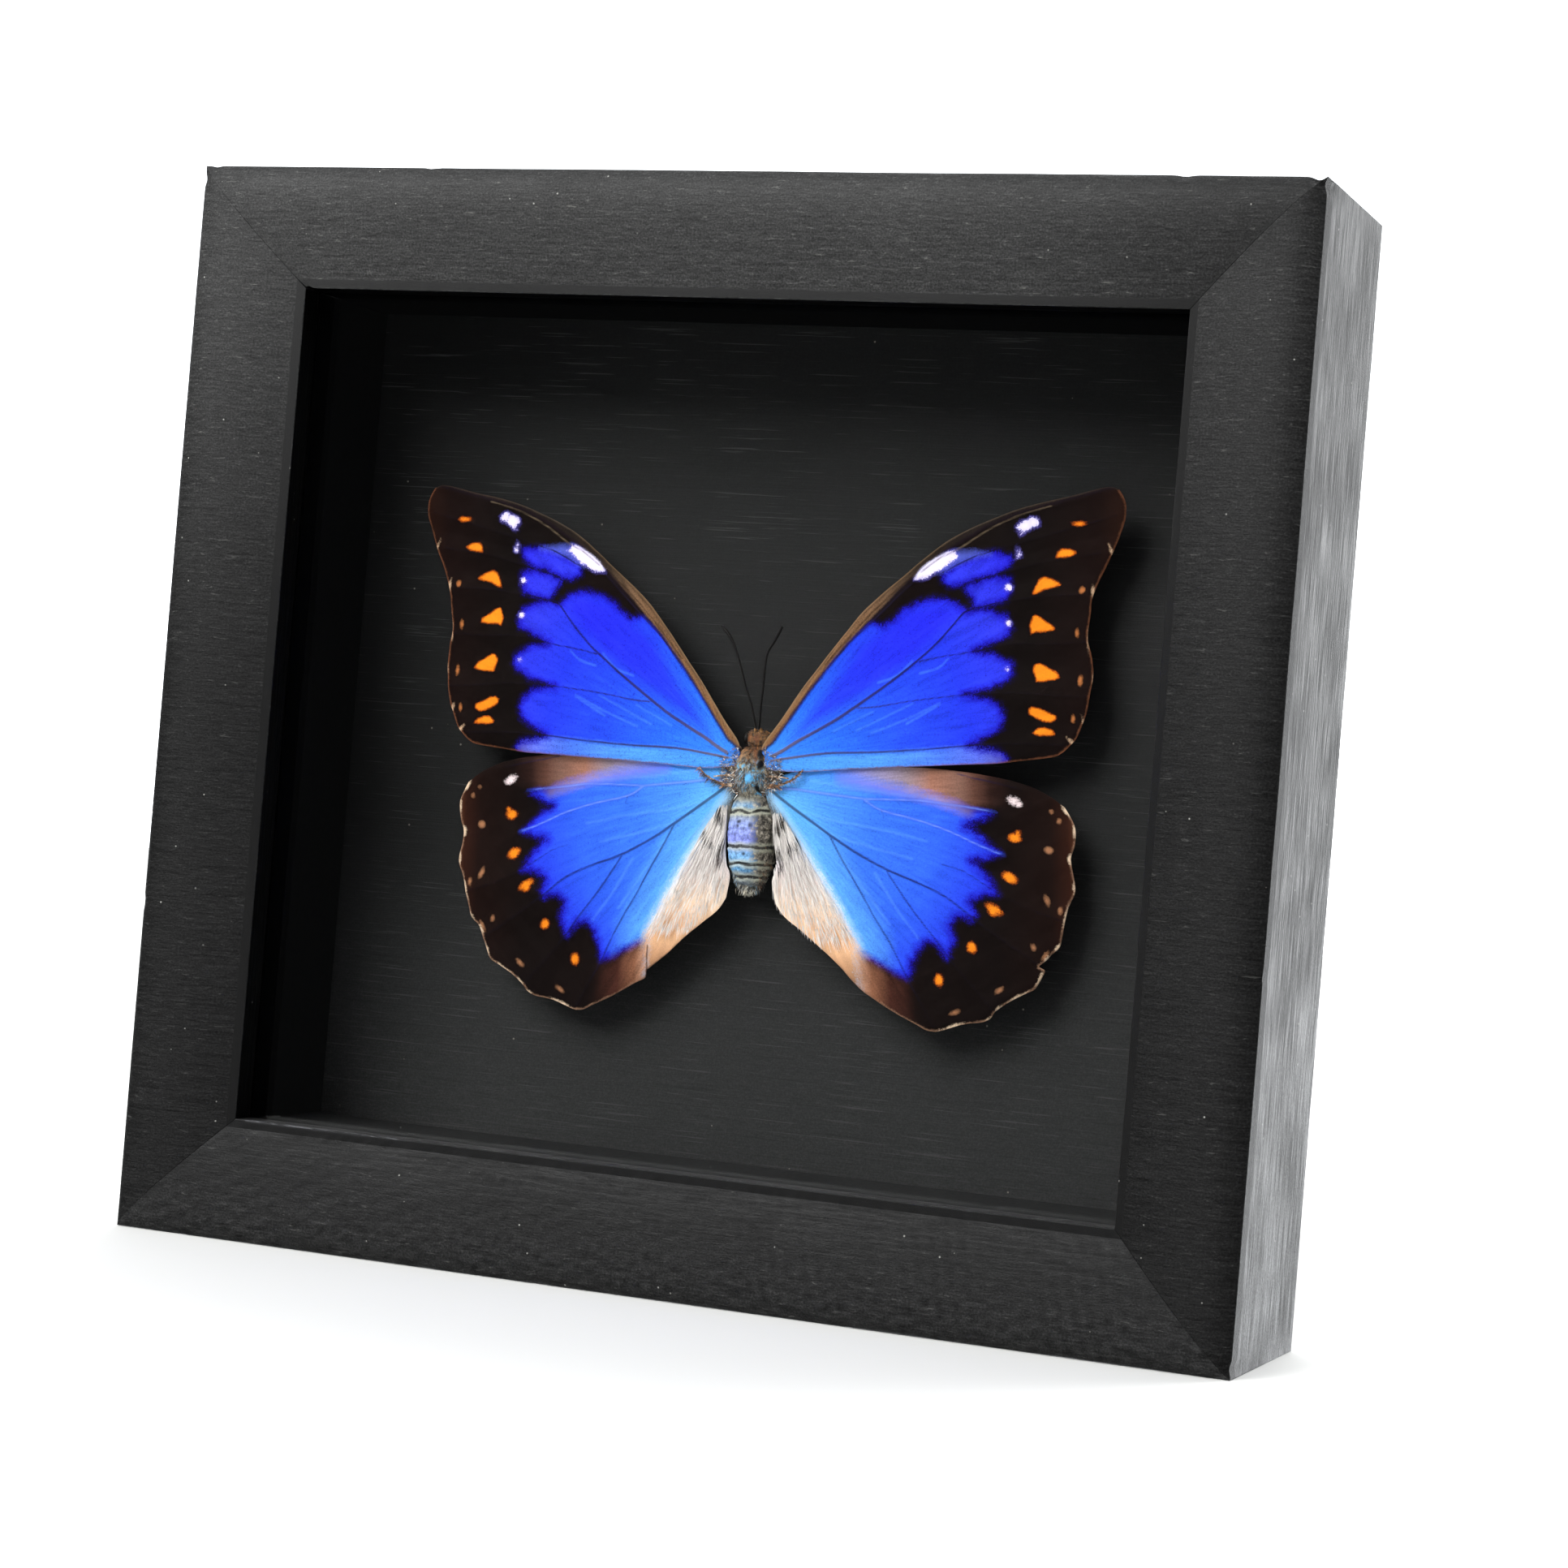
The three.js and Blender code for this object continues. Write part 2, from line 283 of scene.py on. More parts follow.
def strands(roots, ways, lengths, thick, droop, rings, seed):
    """Tapered hairs: each leaves its root along its way and bends by droop. Returns points, faces and
    the number of each point's hair."""
    rng = np.random.default_rng(seed)
    roots, ways = np.asarray(roots, float), np.asarray(ways, float)
    ways = ways / np.linalg.norm(ways, axis=1, keepdims=True)
    count = len(roots)
    side = np.cross(ways, rng.normal(size=(count, 3)))
    side /= np.linalg.norm(side, axis=1, keepdims=True)
    other = np.cross(ways, side)
    t = np.linspace(0, 1, rings)[None, :, None]
    lengths = np.broadcast_to(lengths, count)[:, None, None]
    bend = np.asarray(droop, float)[..., None, :] * lengths * t**2
    middle = roots[:, None] + ways[:, None] * lengths * t + bend
    radius = thick * (1 - 0.85 * t**1.5)
    corners = [side * math.cos(a) + other * math.sin(a) for a in (0, 2 * math.pi / 3, 4 * math.pi / 3)]
    points = np.stack([middle + c[:, None] * radius for c in corners], axis=2)
    one = grid_faces(rings, 3, close_columns=True)
    faces = (one[None] + (np.arange(count) * rings * 3)[:, None, None]).reshape(-1, 4).tolist()
    ends = np.arange(count) * rings * 3
    faces += [(a + 2, a + 1, a) for a in ends]
    faces += [(a + 3 * rings - 3, a + 3 * rings - 2, a + 3 * rings - 1) for a in ends]
    return points.reshape(-1, 3), faces, np.repeat(np.arange(count), rings * 3)


def joined(parts):
    """One mesh from several, each given as its points and faces."""
    points, faces, start = [], [], 0
    for part_points, part_faces in parts:
        points.append(part_points)
        faces += [tuple(int(i) + start for i in f) for f in part_faces]
        start += len(part_points)
    return np.vstack(points), faces


def closed(rings, first, last):
    """Points and faces of a body through some rings, closed by a point at each end."""
    count = len(rings[0])
    points = np.vstack([*rings, first, last])
    faces = grid_faces(len(rings), count, close_columns=True).tolist()
    tip = len(points) - 2
    end = (len(rings) - 1) * count
    faces += [(tip, i, (i + 1) % count) for i in range(count)]
    faces += [(tip + 1, end + (i + 1) % count, end + i) for i in range(count)]
    return points, faces


def tube(line, depth, radius, sides):
    """A closed tube along a line of x and z, with a depth and a radius at each of its points."""
    heading = np.gradient(line, axis=0)
    heading /= np.linalg.norm(heading, axis=1, keepdims=True)
    angle = np.linspace(0, 2 * math.pi, sides, endpoint=False)
    depth = np.broadcast_to(depth, len(line))
    rings = [
        np.c_[x - up * r * np.cos(angle), y + r * np.sin(angle), z + across * r * np.cos(angle)]
        for (x, z), (across, up), y, r in zip(line, heading, depth, radius)]
    faces = grid_faces(len(line), sides, close_columns=True).tolist()
    faces += [list(range(sides))[::-1], [(len(line) - 1) * sides + i for i in range(sides)]]
    return np.vstack(rings), faces


def in_case(points):
    """Specimen points turned and moved to their place in the case. y is depth and stays."""
    turn = math.radians(SPECIMEN_TURN)
    x, y, z = np.asarray(points, float).T
    return np.c_[
        SPECIMEN_X + x * math.cos(turn) - z * math.sin(turn),
        y,
        SPECIMEN_Z + x * math.sin(turn) + z * math.cos(turn),
    ]


def middle_of(node):
    """Middle of a node's box."""
    low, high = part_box(node)
    return (low + high) / 2 / MM


# ---------------------------------------------------------------- the butterfly's plan

# Each wing's outline, as four edges that meet at its corners.
FOREWING_EDGES = {
    "upper": [
        (2.6, 5), (3.4, 6.4), (6, 9.8), (10, 15.7), (13.9, 20.9), (18.9, 27.3), (22.2, 31.4),
        (26.1, 35.1), (30, 38.3), (33.3, 41.1), (37.8, 44.5), (42.1, 46.9), (46.5, 48.9),
        (50.6, 50.5), (55.3, 51.8), (60.3, 52.8), (65.3, 54), (68, 54.4), (69.6, 53.8),
    ],
    "tip": [
        (59.9, 4.7), (61.2, 6), (62.3, 7.4), (63.5, 10.2), (64.2, 12.1), (64.9, 15.8), (65.3, 19.3),
        (64.9, 23), (64.3, 25.3), (64.3, 27.5), (64.7, 30.5), (65, 33.6), (66.2, 37.1),
        (68.4, 41.8), (69.9, 45.5), (70.8, 48.2), (70.9, 50.8), (70.4, 52.4), (69.6, 53.8),
    ],
    "lower": [
        (2.8, 0.8), (10, 0.3), (20, 1), (34, 1.7), (41.8, 2.1), (47.8, 2.4), (52.4, 3), (56.5, 3.5),
        (58.6, 3.9), (59.9, 4.7),
    ],
    "root": [(2.8, 0.8), (2.4, 3), (2.6, 5)],
}
HINDWING_EDGES = {
    "upper": [
        (2.9, -1.4), (8, 1.2), (20, 2.8), (32, 3), (40, 2.5), (45.6, 1.8), (50, 1), (53.8, -0.1),
        (57.2, -1.8), (59.7, -3.7),
    ],
    "tip": [
        (34.8, -46.8), (36.3, -46.4), (40, -45.1), (43.6, -44.5), (45.2, -43.6), (46.1, -42.4),
        (48.8, -40.4), (51.9, -38.7), (53.3, -38), (54.1, -36.9), (55.3, -33.8), (56.4, -31.5),
        (58.1, -29.8), (58.9, -26.8), (60, -22.3), (61.1, -19.8), (61.2, -17.9), (60.6, -13.5),
        (61.4, -10.7), (61.6, -7.6), (60.5, -5.1), (59.7, -3.7),
    ],
    "lower": [
        (4.6, -24), (6.3, -26.5), (9.4, -29), (13.1, -32.1), (16.9, -35.5), (20.2, -39.2),
        (23.1, -41.3), (27.2, -43.7), (31.6, -45.8), (33.1, -46.6), (34.8, -46.8),
    ],
    "root": [
        (4.6, -24), (4, -20.7), (4.1, -19.1), (4.7, -17.6), (5, -14), (4.7, -9.5), (3.6, -5.4),
        (2.9, -1.4),
    ],
}
# Marks on a forewing: closed outlines, lines, and ovals of x, z, half width, half height and tilt.
FOREWING_BLUE = [
    [
        (-2, -4), (46, -4), (49.5, 3.2), (48.5, 4.6), (42.5, 5.7), (46, 7.5), (48.5, 9), (49, 11),
        (48.5, 13), (46, 14.8), (41.5, 15.3), (46.5, 16.6), (49.5, 18), (50.5, 19.5), (50.2, 21.5),
        (47, 23), (43, 23.6), (46.5, 25.2), (49.5, 26.5), (50, 28), (49.3, 30.2), (46, 31.5),
        (43.2, 31.7), (41.9, 31.2), (40.8, 31.8), (39.7, 32.7), (37.5, 33.7), (34.7, 33.7),
        (31.9, 32.9), (30, 31.8), (27.8, 29.8), (26, 28.6), (23.2, 29.4), (19.4, 26.3),
        (15.2, 21.5), (10.7, 15.5), (7.4, 11), (4.4, 7), (-2, 6),
    ],
    [
        (37.4, 38.7), (39.9, 40.2), (42.8, 41.6), (44.6, 42.2), (47.5, 42.3), (49.8, 41.8),
        (50, 40.5), (49, 39.3), (47.1, 38.2), (44.9, 37.7), (42.8, 37), (41, 36.3), (38.8, 35.9),
        (37, 36.7), (36.9, 38),
    ],
    [
        (41.2, 35.8), (43.1, 32.1), (44.9, 32.1), (49, 33.3), (49.6, 34.3), (49.9, 36.4),
        (49.6, 37.5), (47.4, 37.8), (44.9, 37.3), (42.8, 36.6),
    ],
]
# The cell between the main vein and the front edge, where the blue is deepest.
FOREWING_CELL = [
    (8, 6), (15, 9.8), (24, 15.8), (33, 22.5), (41, 31), (37, 33.5), (30, 32), (21, 25), (12, 12.6),
]
FOREWING_COSTA = [
    (1, 3), (2, 8), (8, 15.5), (16, 26.5), (26, 38.5), (34, 45), (44, 51), (56, 55), (66, 57),
    (69, 54.6), (60, 52.4), (55.3, 51.2), (50.3, 49.8), (44.9, 47.3), (39.9, 44.2), (36.4, 42),
    (33.3, 39.6), (30.3, 36.8), (26.7, 33.2), (23.6, 29.8), (19.4, 25.5), (15.4, 20.7),
    (10.9, 14.7), (7.8, 10.2), (4.8, 6),
]
FOREWING_WHITE = [
    (31.3, 38.1), (32.4, 39.8), (34, 41.1), (36, 42.1), (38, 42.8), (39.4, 42.6), (40.2, 41.6),
    (38.3, 40), (36.1, 38.7), (34.2, 37.5), (32.6, 37.2), (31.6, 37.4),
]
FOREWING_PALE = [
    (36, 38.6), (38.4, 42.6), (40.6, 42.6), (43.6, 42.4), (46, 41.9), (43, 41.3), (40, 40.3),
    (37.6, 38.9),
]
FOREWING_HIND = [
    (3, -3), (49, -3), (49.5, 3.2), (48, 5.6), (42.4, 5.5), (35, 4.9), (25, 4.1), (15.6, 3.8),
    (8, 2.9), (3, 2),
]
FOREWING_WHITE_SPOTS = [
    (52.2, 47.4, 1.5, 1.1, 20), (53.7, 48, 1.1, 0.9, -30), (51.2, 41.7, 0.5, 0.4, 60),
    (49.4, 35.7, 0.65, 0.6, 0), (49.4, 29, 0.6, 0.6, 0), (49.3, 20.3, 0.35, 0.3, 0),
    (51, 42.5, 0.25, 0.4, 0), (52, 46.4, 0.8, 0.5, 60),
]
FOREWING_ORANGE = [
    [(58, 41.1), (58.3, 42.4), (59.1, 43), (60.6, 42.9), (62, 42.2), (61, 41.5), (59.7, 41.3)],
    [
        (54, 34.3), (54.3, 35.6), (55, 37.1), (56, 37.7), (57.3, 37.3), (58.8, 36.5), (59.2, 36),
        (58, 35.6), (56, 35.2), (54.8, 34.5),
    ],
    [
        (54.1, 30.5), (53.3, 28.5), (53.7, 26.8), (54.5, 27.2), (56.5, 27.3), (58.2, 27.5),
        (58, 28.3), (56.5, 29.2), (55.2, 30.2),
    ],
    [
        (54, 20.3), (54.6, 21.3), (55.4, 21.4), (57, 20.6), (58.5, 19.8), (59.3, 18.6), (58, 18.2),
        (56, 17.9), (54.9, 17.9), (54.5, 19),
    ],
    [
        (53.4, 12.5), (54, 13.2), (55.3, 13), (57, 12.2), (58.5, 11.5), (58.6, 10.7), (57.5, 10.2),
        (56, 10.4), (54.5, 11.2), (53.6, 11.7),
    ],
    [
        (54.3, 8.3), (55.2, 9.2), (56.5, 9.3), (58, 8.7), (58.6, 7.9), (57.5, 7.7), (55.5, 7.7),
        (54.6, 8),
    ],
]
FOREWING_ORANGE_SPOTS = [(62.3, 47.6, 1.3, 0.55, 0)]
FOREWING_TAN_SPOTS = [
    (63.1, 35, 0.45, 0.6, 0), (62.3, 27, 0.3, 0.7, 0), (63, 18.1, 0.4, 0.9, 0),
    (61.7, 10.9, 0.35, 0.6, 0),
]
FOREWING_CREAM = [
    (65.2, 34.3, 0.3, 1.2, 10), (64.5, 26.4, 0.25, 1.8, -4), (65.5, 17.8, 0.3, 1.6, 0),
    (63.8, 10, 0.3, 1.2, 22), (61.7, 6.3, 0.3, 1.1, 42), (68.6, 41.8, 0.25, 1.6, 25),
]
# Veins: each line's points, and its half width at both ends.
FOREWING_VEINS = [
    ([
        (5, 3.4), (6.7, 4.3), (9.7, 6.2), (12.8, 7.9), (17.8, 10.8), (21.9, 13.7), (26.7, 17.2),
        (30.8, 20.4), (34.4, 23.4), (37.8, 27), (40.8, 30.7), (41.9, 31.4),
    ], 0.34, 0.17),
    ([(41.9, 31.4), (44, 31.9), (48.7, 33), (56, 34), (64, 34.2)], 0.16, 0.1),
    ([(32.9, 21.6), (36.7, 22.5), (43.4, 23.6), (49.6, 25), (57, 25), (64, 25.3)], 0.14, 0.1),
    ([
        (21.3, 12.7), (25, 13), (30.6, 14), (36.1, 14.7), (41.5, 15.3), (50.2, 15.8), (58, 15.3),
        (64.5, 15),
    ], 0.15, 0.1),
    ([
        (4.6, 2.4), (8.3, 3), (15.6, 4), (25, 4.3), (35, 5), (42.4, 5.7), (50, 6.2), (60, 6),
    ], 0.24, 0.1),
    ([
        (41.9, 31.4), (43.1, 32.2), (41.2, 35.9), (42.8, 36.8), (47.1, 38), (56, 40.5), (66.5, 42),
    ], 0.13, 0.1),
    ([
        (33.4, 38.3), (37.1, 38.6), (39.9, 40), (42.8, 41.4), (44.6, 42), (53, 44.6), (69.4, 49),
    ], 0.13, 0.1),
    ([(15.4, 20.2), (19.4, 25), (23.6, 29), (30.3, 35.7), (33.4, 38.4)], 0.12, 0.12),
    ([(5, 7), (9, 12.4), (16, 22.3), (24, 31.6), (31.4, 38), (38, 42.6)], 0.13, 0.08),
]
FOREWING_SHEEN = [(33, 38.7), (36.4, 41.2), (39.9, 42.9), (44.9, 46.3), (50.3, 49.1), (57, 51.1)]
FOREWING_COSTAL_LINES = [
    [(15, 21), (24, 31.2), (31.4, 38), (38, 43.6)],
    [(10, 15.4), (15, 21.8), (22, 30.6), (30, 38), (38, 44.4)],
]
FOREWING_CREASES = [
    [(16.7, 8.2), (20, 9.9), (24.2, 12)],
    [(21.1, 8.4), (26, 10.8), (31.9, 13.7)],
    [(23.9, 7.9), (30, 10.4), (36.9, 13.7)],
    [(30.6, 9.8), (36.9, 13.4)],
    [(25, 17.6), (28.6, 18.9), (31.6, 21.8)],
    [(33, 19.4), (36.4, 20.4), (38.4, 22.2)],
]
# Marks on a hindwing, in the same way.
HINDWING_BLUE = [
    (-4, 0), (0, 6), (36, 6), (40, -1.5), (42.5, -4.2), (44.8, -4.6), (46.5, -5.5), (44, -6.8),
    (41.2, -7.8), (43.5, -9), (46, -11), (47.7, -13), (45, -13.9), (42.2, -14.3), (44, -15.5),
    (46, -18), (47.2, -20.5), (44.5, -20.7), (42, -22), (43, -24.5), (42.3, -25.5), (39.5, -25),
    (38, -26.5), (39, -29), (38, -31.5), (37.3, -33), (35.5, -30.5), (33.5, -30), (32, -31.5),
    (30.8, -34), (30, -37.2), (28, -36.8), (25, -35.2), (22, -33.8), (17, -33), (10, -28),
    (-4, -20),
]
HINDWING_COSTA = [
    (17, 1.6), (21.9, 0.3), (28.1, -0.6), (33.1, -1.7), (39.4, -3.5), (43.5, -4.6), (49, -3.6),
    (53, 2), (44, 7), (20, 7), (15, 4),
]
HINDWING_PINK = [(18, 0.3), (25, -0.8), (31, -1.8), (36.3, -3.1), (42, -5)]
HINDWING_FOLD = [
    (2, -4), (4.1, -3.8), (5.9, -6.6), (9.7, -12.3), (13.4, -18.5), (16.6, -24.1), (19.1, -28.8),
    (20.3, -31.3), (21, -42), (17, -41), (2, -27),
]
HINDWING_TAIL = [
    (19.5, -30.5), (22, -33.3), (25, -35.2), (28, -36.8), (30.5, -38.2), (31.5, -47.5), (20, -42),
]
HINDWING_WHITE_SPOTS = [
    (50.6, -2.9, 0.95, 0.75, 0), (51.3, -3.4, 0.6, 0.5, 0), (49.9, -2.5, 0.5, 0.4, 0),
]
HINDWING_ORANGE_SPOTS = [
    (50.4, -9.7, 1.2, 0.95, 0), (51, -8.8, 0.6, 0.5, 60), (49.3, -17.2, 1.5, 0.95, -30),
    (46.3, -23.2, 1.7, 0.8, -32), (46.1, -23.9, 0.9, 0.6, -20), (42, -30.6, 0.85, 1.1, 20),
    (35.6, -37, 0.85, 1.15, 0),
]
HINDWING_TAN_SPOTS = [
    (58.7, -6.3, 0.35, 0.4, 0), (56.7, -11.8, 0.7, 0.6, 0), (56.1, -21.3, 0.4, 0.9, 20),
    (58.5, -23, 0.3, 0.5, 0), (53.5, -30, 0.35, 0.5, 20), (55.6, -31.5, 0.3, 0.8, -30),
    (47, -38.3, 0.7, 0.35, 40), (38.4, -43, 0.75, 0.35, 30), (57.3, -4.6, 0.3, 0.3, 0),
]
HINDWING_CREAM = [
    (60.1, -4.5, 0.5, 1.3, 40), (61.5, -8.3, 0.4, 1.5, 0), (60.6, -13.2, 0.6, 1.1, 0),
    (61.1, -18.4, 0.35, 1.2, 0), (59.7, -24, 0.45, 2.2, -17), (58.1, -29.6, 0.4, 1, -40),
    (56, -32.2, 0.5, 1, -25), (54.5, -36, 0.4, 1.4, -22), (50.2, -39.7, 2.2, 0.4, 32),
    (46.7, -41.9, 1, 0.4, 45), (44.9, -43.9, 0.9, 0.4, 30), (38, -45.6, 2.4, 0.3, 20),
]
PALE_VEINS = 3  # so many of the hindwing's veins, the first ones, are pale
HINDWING_VEINS = [
    ([(6, -1.9), (9.1, -1.9), (12.5, -2.3), (20, -3.1), (22.5, -3.4)], 0.17, 0.13),
    ([
        (22.5, -3.4), (25, -3.3), (33, -3.3), (39.4, -4), (44.4, -4.6), (52, -5.5), (60.5, -6),
    ], 0.13, 0.1),
    ([
        (22.5, -3.6), (25.6, -5.4), (31.9, -6.9), (38.1, -8.8), (43.1, -11), (47.5, -12.7),
        (54, -14), (60.5, -13.5),
    ], 0.13, 0.1),
    ([(25.6, -5.4), (26, -6.8)], 0.1, 0.06),
    ([(37, -15.2), (40.9, -16.3), (46.9, -20.1), (53, -23), (59.3, -25)], 0.1, 0.12),
    ([
        (4.8, -2.6), (6.1, -3.7), (10, -6.5), (15.3, -10.2), (20, -13.3), (25, -16), (28.8, -17.6),
        (33.1, -19.2), (37.8, -21.5), (42.2, -24.9), (48, -29), (55.3, -33.8),
    ], 0.3, 0.12),
    ([
        (26.3, -17), (28.8, -20.7), (31.8, -25), (35.3, -29.4), (37.5, -32.6), (42, -38),
        (46, -42.5),
    ], 0.17, 0.12),
    ([
        (15.6, -10.7), (18.1, -15.5), (20.9, -20.4), (23.4, -25), (26.6, -30.4), (29.7, -36.9),
        (32, -41), (34.6, -46),
    ], 0.18, 0.12),
    ([(40, 2), (43.4, 1.2), (47.5, 0.4), (52, -0.6)], 0.12, 0.1),
]
HINDWING_TEAR = [(20.25, -33.8), (20.4, -36), (20.3, -38.4), (20.45, -40.4)]
HINDWING_CREASES = [
    [(8, -5.6), (16, -7.6), (26, -9.2), (34, -11)],
    [(12, -9), (20, -11.6), (31, -14.4)],
    [(9, -8.4), (12.4, -13), (16, -20), (19, -27)],
    [(17, -13.6), (21.6, -20), (26.6, -27)],
    [(24, -17.4), (28, -24), (32, -29.4)],
    [(12, -0.2), (20, -1.4), (32, -2.6)],
]


def wing_grid(edges, along, across):
    """Points over a wing from its four edges, as an along by across grid of x and z."""
    lines = {key: spaced(smooth(points), along if key in ("upper", "lower") else across)
             for key, points in edges.items()}
    return patch(lines["lower"], lines["upper"], lines["root"], lines["tip"])


def outline_of(edges):
    """The wing's whole edge as one closed line."""
    lines = {key: smooth(points) for key, points in edges.items()}
    return np.vstack([lines["lower"], lines["tip"], lines["upper"][::-1], lines["root"][::-1]])


def most(fields):
    """The largest of several fields at each point."""
    return np.max(np.stack(list(fields)), axis=0)


def forewing_marks(plan, edges):
    """How far each point of a forewing lies inside each mark on it."""
    veins = [to_line(plan, smooth(line, 3), start, end) for line, start, end in FOREWING_VEINS]
    return {
        "blue": most(to_region(plan, region) for region in FOREWING_BLUE),
        "cell": to_region(plan, FOREWING_CELL),
        "brown": to_region(plan, FOREWING_COSTA),
        "hind": to_region(plan, FOREWING_HIND),
        "pale": to_region(plan, FOREWING_PALE),
        "sheen": to_line(plan, smooth(FOREWING_SHEEN, 3), 0.16, 0.12),
        "rim": most([
            to_line(plan, smooth(edges["tip"], 3), 0.22, 0.22),
            to_line(plan, edges["lower"], 0.15, 0.2),
        ]),
        "costal_rim": to_line(plan, smooth(edges["upper"], 3), 0.26, 0.12),
        "costal_lines": most(
            to_line(plan, smooth(line, 3), 0.13, 0.08) for line in FOREWING_COSTAL_LINES),
        "white": most([to_region(plan, FOREWING_WHITE), to_spots(plan, FOREWING_WHITE_SPOTS)]),
        "orange": most(
            [to_spots(plan, FOREWING_ORANGE_SPOTS)] + [to_region(plan, r) for r in FOREWING_ORANGE]),
        "tan": to_spots(plan, FOREWING_TAN_SPOTS),
        "cream": to_spots(plan, FOREWING_CREAM),
        "crease": most(to_line(plan, smooth(line, 3), 0.14, 0.08) for line in FOREWING_CREASES),
        "vein": most(veins),
        "edge": to_region(plan, outline_of(edges)[::3]),
    }


def hindwing_marks(plan, edges):
    """How far each point of a hindwing lies inside each mark on it."""
    veins = [to_line(plan, smooth(line, 3), start, end) for line, start, end in HINDWING_VEINS]
    blue = to_region(plan, HINDWING_BLUE)
    return {
        "blue": blue,
        "brown": to_region(plan, HINDWING_COSTA),
        "pink": to_line(plan, smooth(HINDWING_PINK, 3), 0.7, 0.5),
        "fold": to_region(plan, HINDWING_FOLD),
        "tail": to_region(plan, HINDWING_TAIL),
        "rim": most([
            to_line(plan, smooth(edges["tip"], 3), 0.3, 0.3),
            to_line(plan, edges["lower"][4:], 0.2, 0.3),
        ]),
        "tear": to_line(plan, HINDWING_TEAR, 0.16, 0.16),
        "white": to_spots(plan, HINDWING_WHITE_SPOTS),
        "orange": to_spots(plan, HINDWING_ORANGE_SPOTS),
        "tan": to_spots(plan, HINDWING_TAN_SPOTS),
        "cream": to_spots(plan, HINDWING_CREAM),
        "crease": most(to_line(plan, smooth(line, 3), 0.18, 0.1) for line in HINDWING_CREASES),
        "vein": most(veins[PALE_VEINS:]),
        "pale_vein": np.minimum(most(veins[:PALE_VEINS]), 0.3 * blue),
        "edge": to_region(plan, outline_of(edges)[::3]),
    }


def torn(edge, first, last, points):
    """An edge of the hindwing with the points from first to last replaced."""
    whole = HINDWING_EDGES[edge]
    return {edge: whole[:first] + points + whole[last:]}


# Damage: a step torn into the left hindwing's edge and a nick in the right one's.
TORN = {
    ("hindwing", "left"): torn("lower", 4, 6, [
        (16.4, -35.3), (18.4, -36.9), (19.9, -38.1), (20.3, -38.5), (20.4, -39.6), (20.9, -40.2),
    ]),
    ("hindwing", "right"): torn("tip", 10, 12, [
        (55.4, -34.6), (55.3, -34.1), (54.4, -33.6), (54.9, -33.1), (55.9, -32.2), (56.6, -31.3),
    ]),
}


def as_dried(kind, side, plan):
    """A wing's plan in the shape in which it dried on its side of the body."""
    if side < 0:
        return plan * (-1, 1)
    rows = np.array(RIGHT_SET[kind])
    return plan @ rows[:, :2].T + rows[:, 2]


# Each kind of wing: its edges, marks and grid, and the root that its rays leave.
WING_KINDS = {
    "forewing": {
        "edges": FOREWING_EDGES,
        "marks": forewing_marks,
        "grid": (220, 140),
        "root": (3.5, 2.5),
    },
    "hindwing": {
        "edges": HINDWING_EDGES,
        "marks": hindwing_marks,
        "grid": (180, 150),
        "root": (3.5, -2.5),
    },
}


def wing_height(plan, marks, vein_height, seed):
    """How far the wing's face stands forward of its plane."""
    veins = np.maximum(marks["vein"], marks.get("pale_vein", -9))
    gap = np.clip(0.3 - veins, 0, None)
    ridge = vein_height * np.exp(-((gap / 0.34) ** 2))
    pleat = -0.28 * (1 - np.exp(-((gap / 2.4) ** 2)))
    crease = 0.09 * np.exp(-((np.clip(0.2 - marks["crease"], 0, None) / 0.4) ** 2))
    edge_dip = -0.12 * np.exp(-((marks["edge"] / 0.5) ** 2))
    wave = 0.35 * ripple(plan, 26, seed) + 0.1 * ripple(plan, 6, seed + 1)
    wave += 0.02 * ripple(plan, 1.6, seed + 2)
    far = np.linalg.norm(plan, axis=1) / 70
    return ridge + pleat + crease + edge_dip + wave * np.clip(far * 2, 0, 1) - 0.5 * far**2


def sheet(grid, depth, thickness):
    """A closed sheet from a grid of x and z: its face at each point's depth, its back behind it."""
    rows, columns = grid.shape[:2]
    flat = grid.reshape(-1, 2)
    face = np.c_[flat[:, 0], depth, flat[:, 1]]
    points = np.vstack([face, face + (0, thickness, 0)])
    quads = grid_faces(rows, columns)
    a, b, c = face[quads[0][0]], face[quads[0][1]], face[quads[0][2]]
    if np.cross(b - a, c - a)[1] > 0:
        quads = quads[:, ::-1]
    count = rows * columns
    index = np.arange(count).reshape(rows, columns)
    ring = np.r_[index[0, :-1], index[:-1, -1], index[-1, :0:-1], index[:0:-1, 0]]
    ahead = np.roll(ring, -1)
    rim = np.stack([ring, ahead, ahead + count, ring + count], axis=1)
    a, b, c = points[rim[0][0]], points[rim[0][1]], points[rim[0][2]]
    outward = points[rim[0][0]] - points.mean(axis=0)
    if np.cross(b - a, c - a) @ outward < 0:
        rim = rim[:, ::-1]
    return points, np.vstack([quads, quads[:, ::-1] + count, rim])


# ---------------------------------------------------------------- materials


def painted(tree, ground, jitter, layers):
    """Lays paints over the ground. A layer is (mark, offset, ragged, soft, paint, strength). It covers
    where the mark, less its offset and roughened by the jitter, is positive, and fades over soft."""
    colour = ground
    for mark, offset, ragged, soft, paint, strength in layers:
        inside = add(tree, "Attribute", out="Fac", attribute_name=mark)
        rough = add(tree, "Math", jitter, ragged, inside, operation="MULTIPLY_ADD")
        mask = add(
            tree, "MapRange", Value=rough, From_Min=offset - soft, From_Max=offset + soft,
            To_Max=strength)
        colour = add(tree, "Mix", Factor=mask, A=colour, B=paint, data_type="RGBA")
    return colour


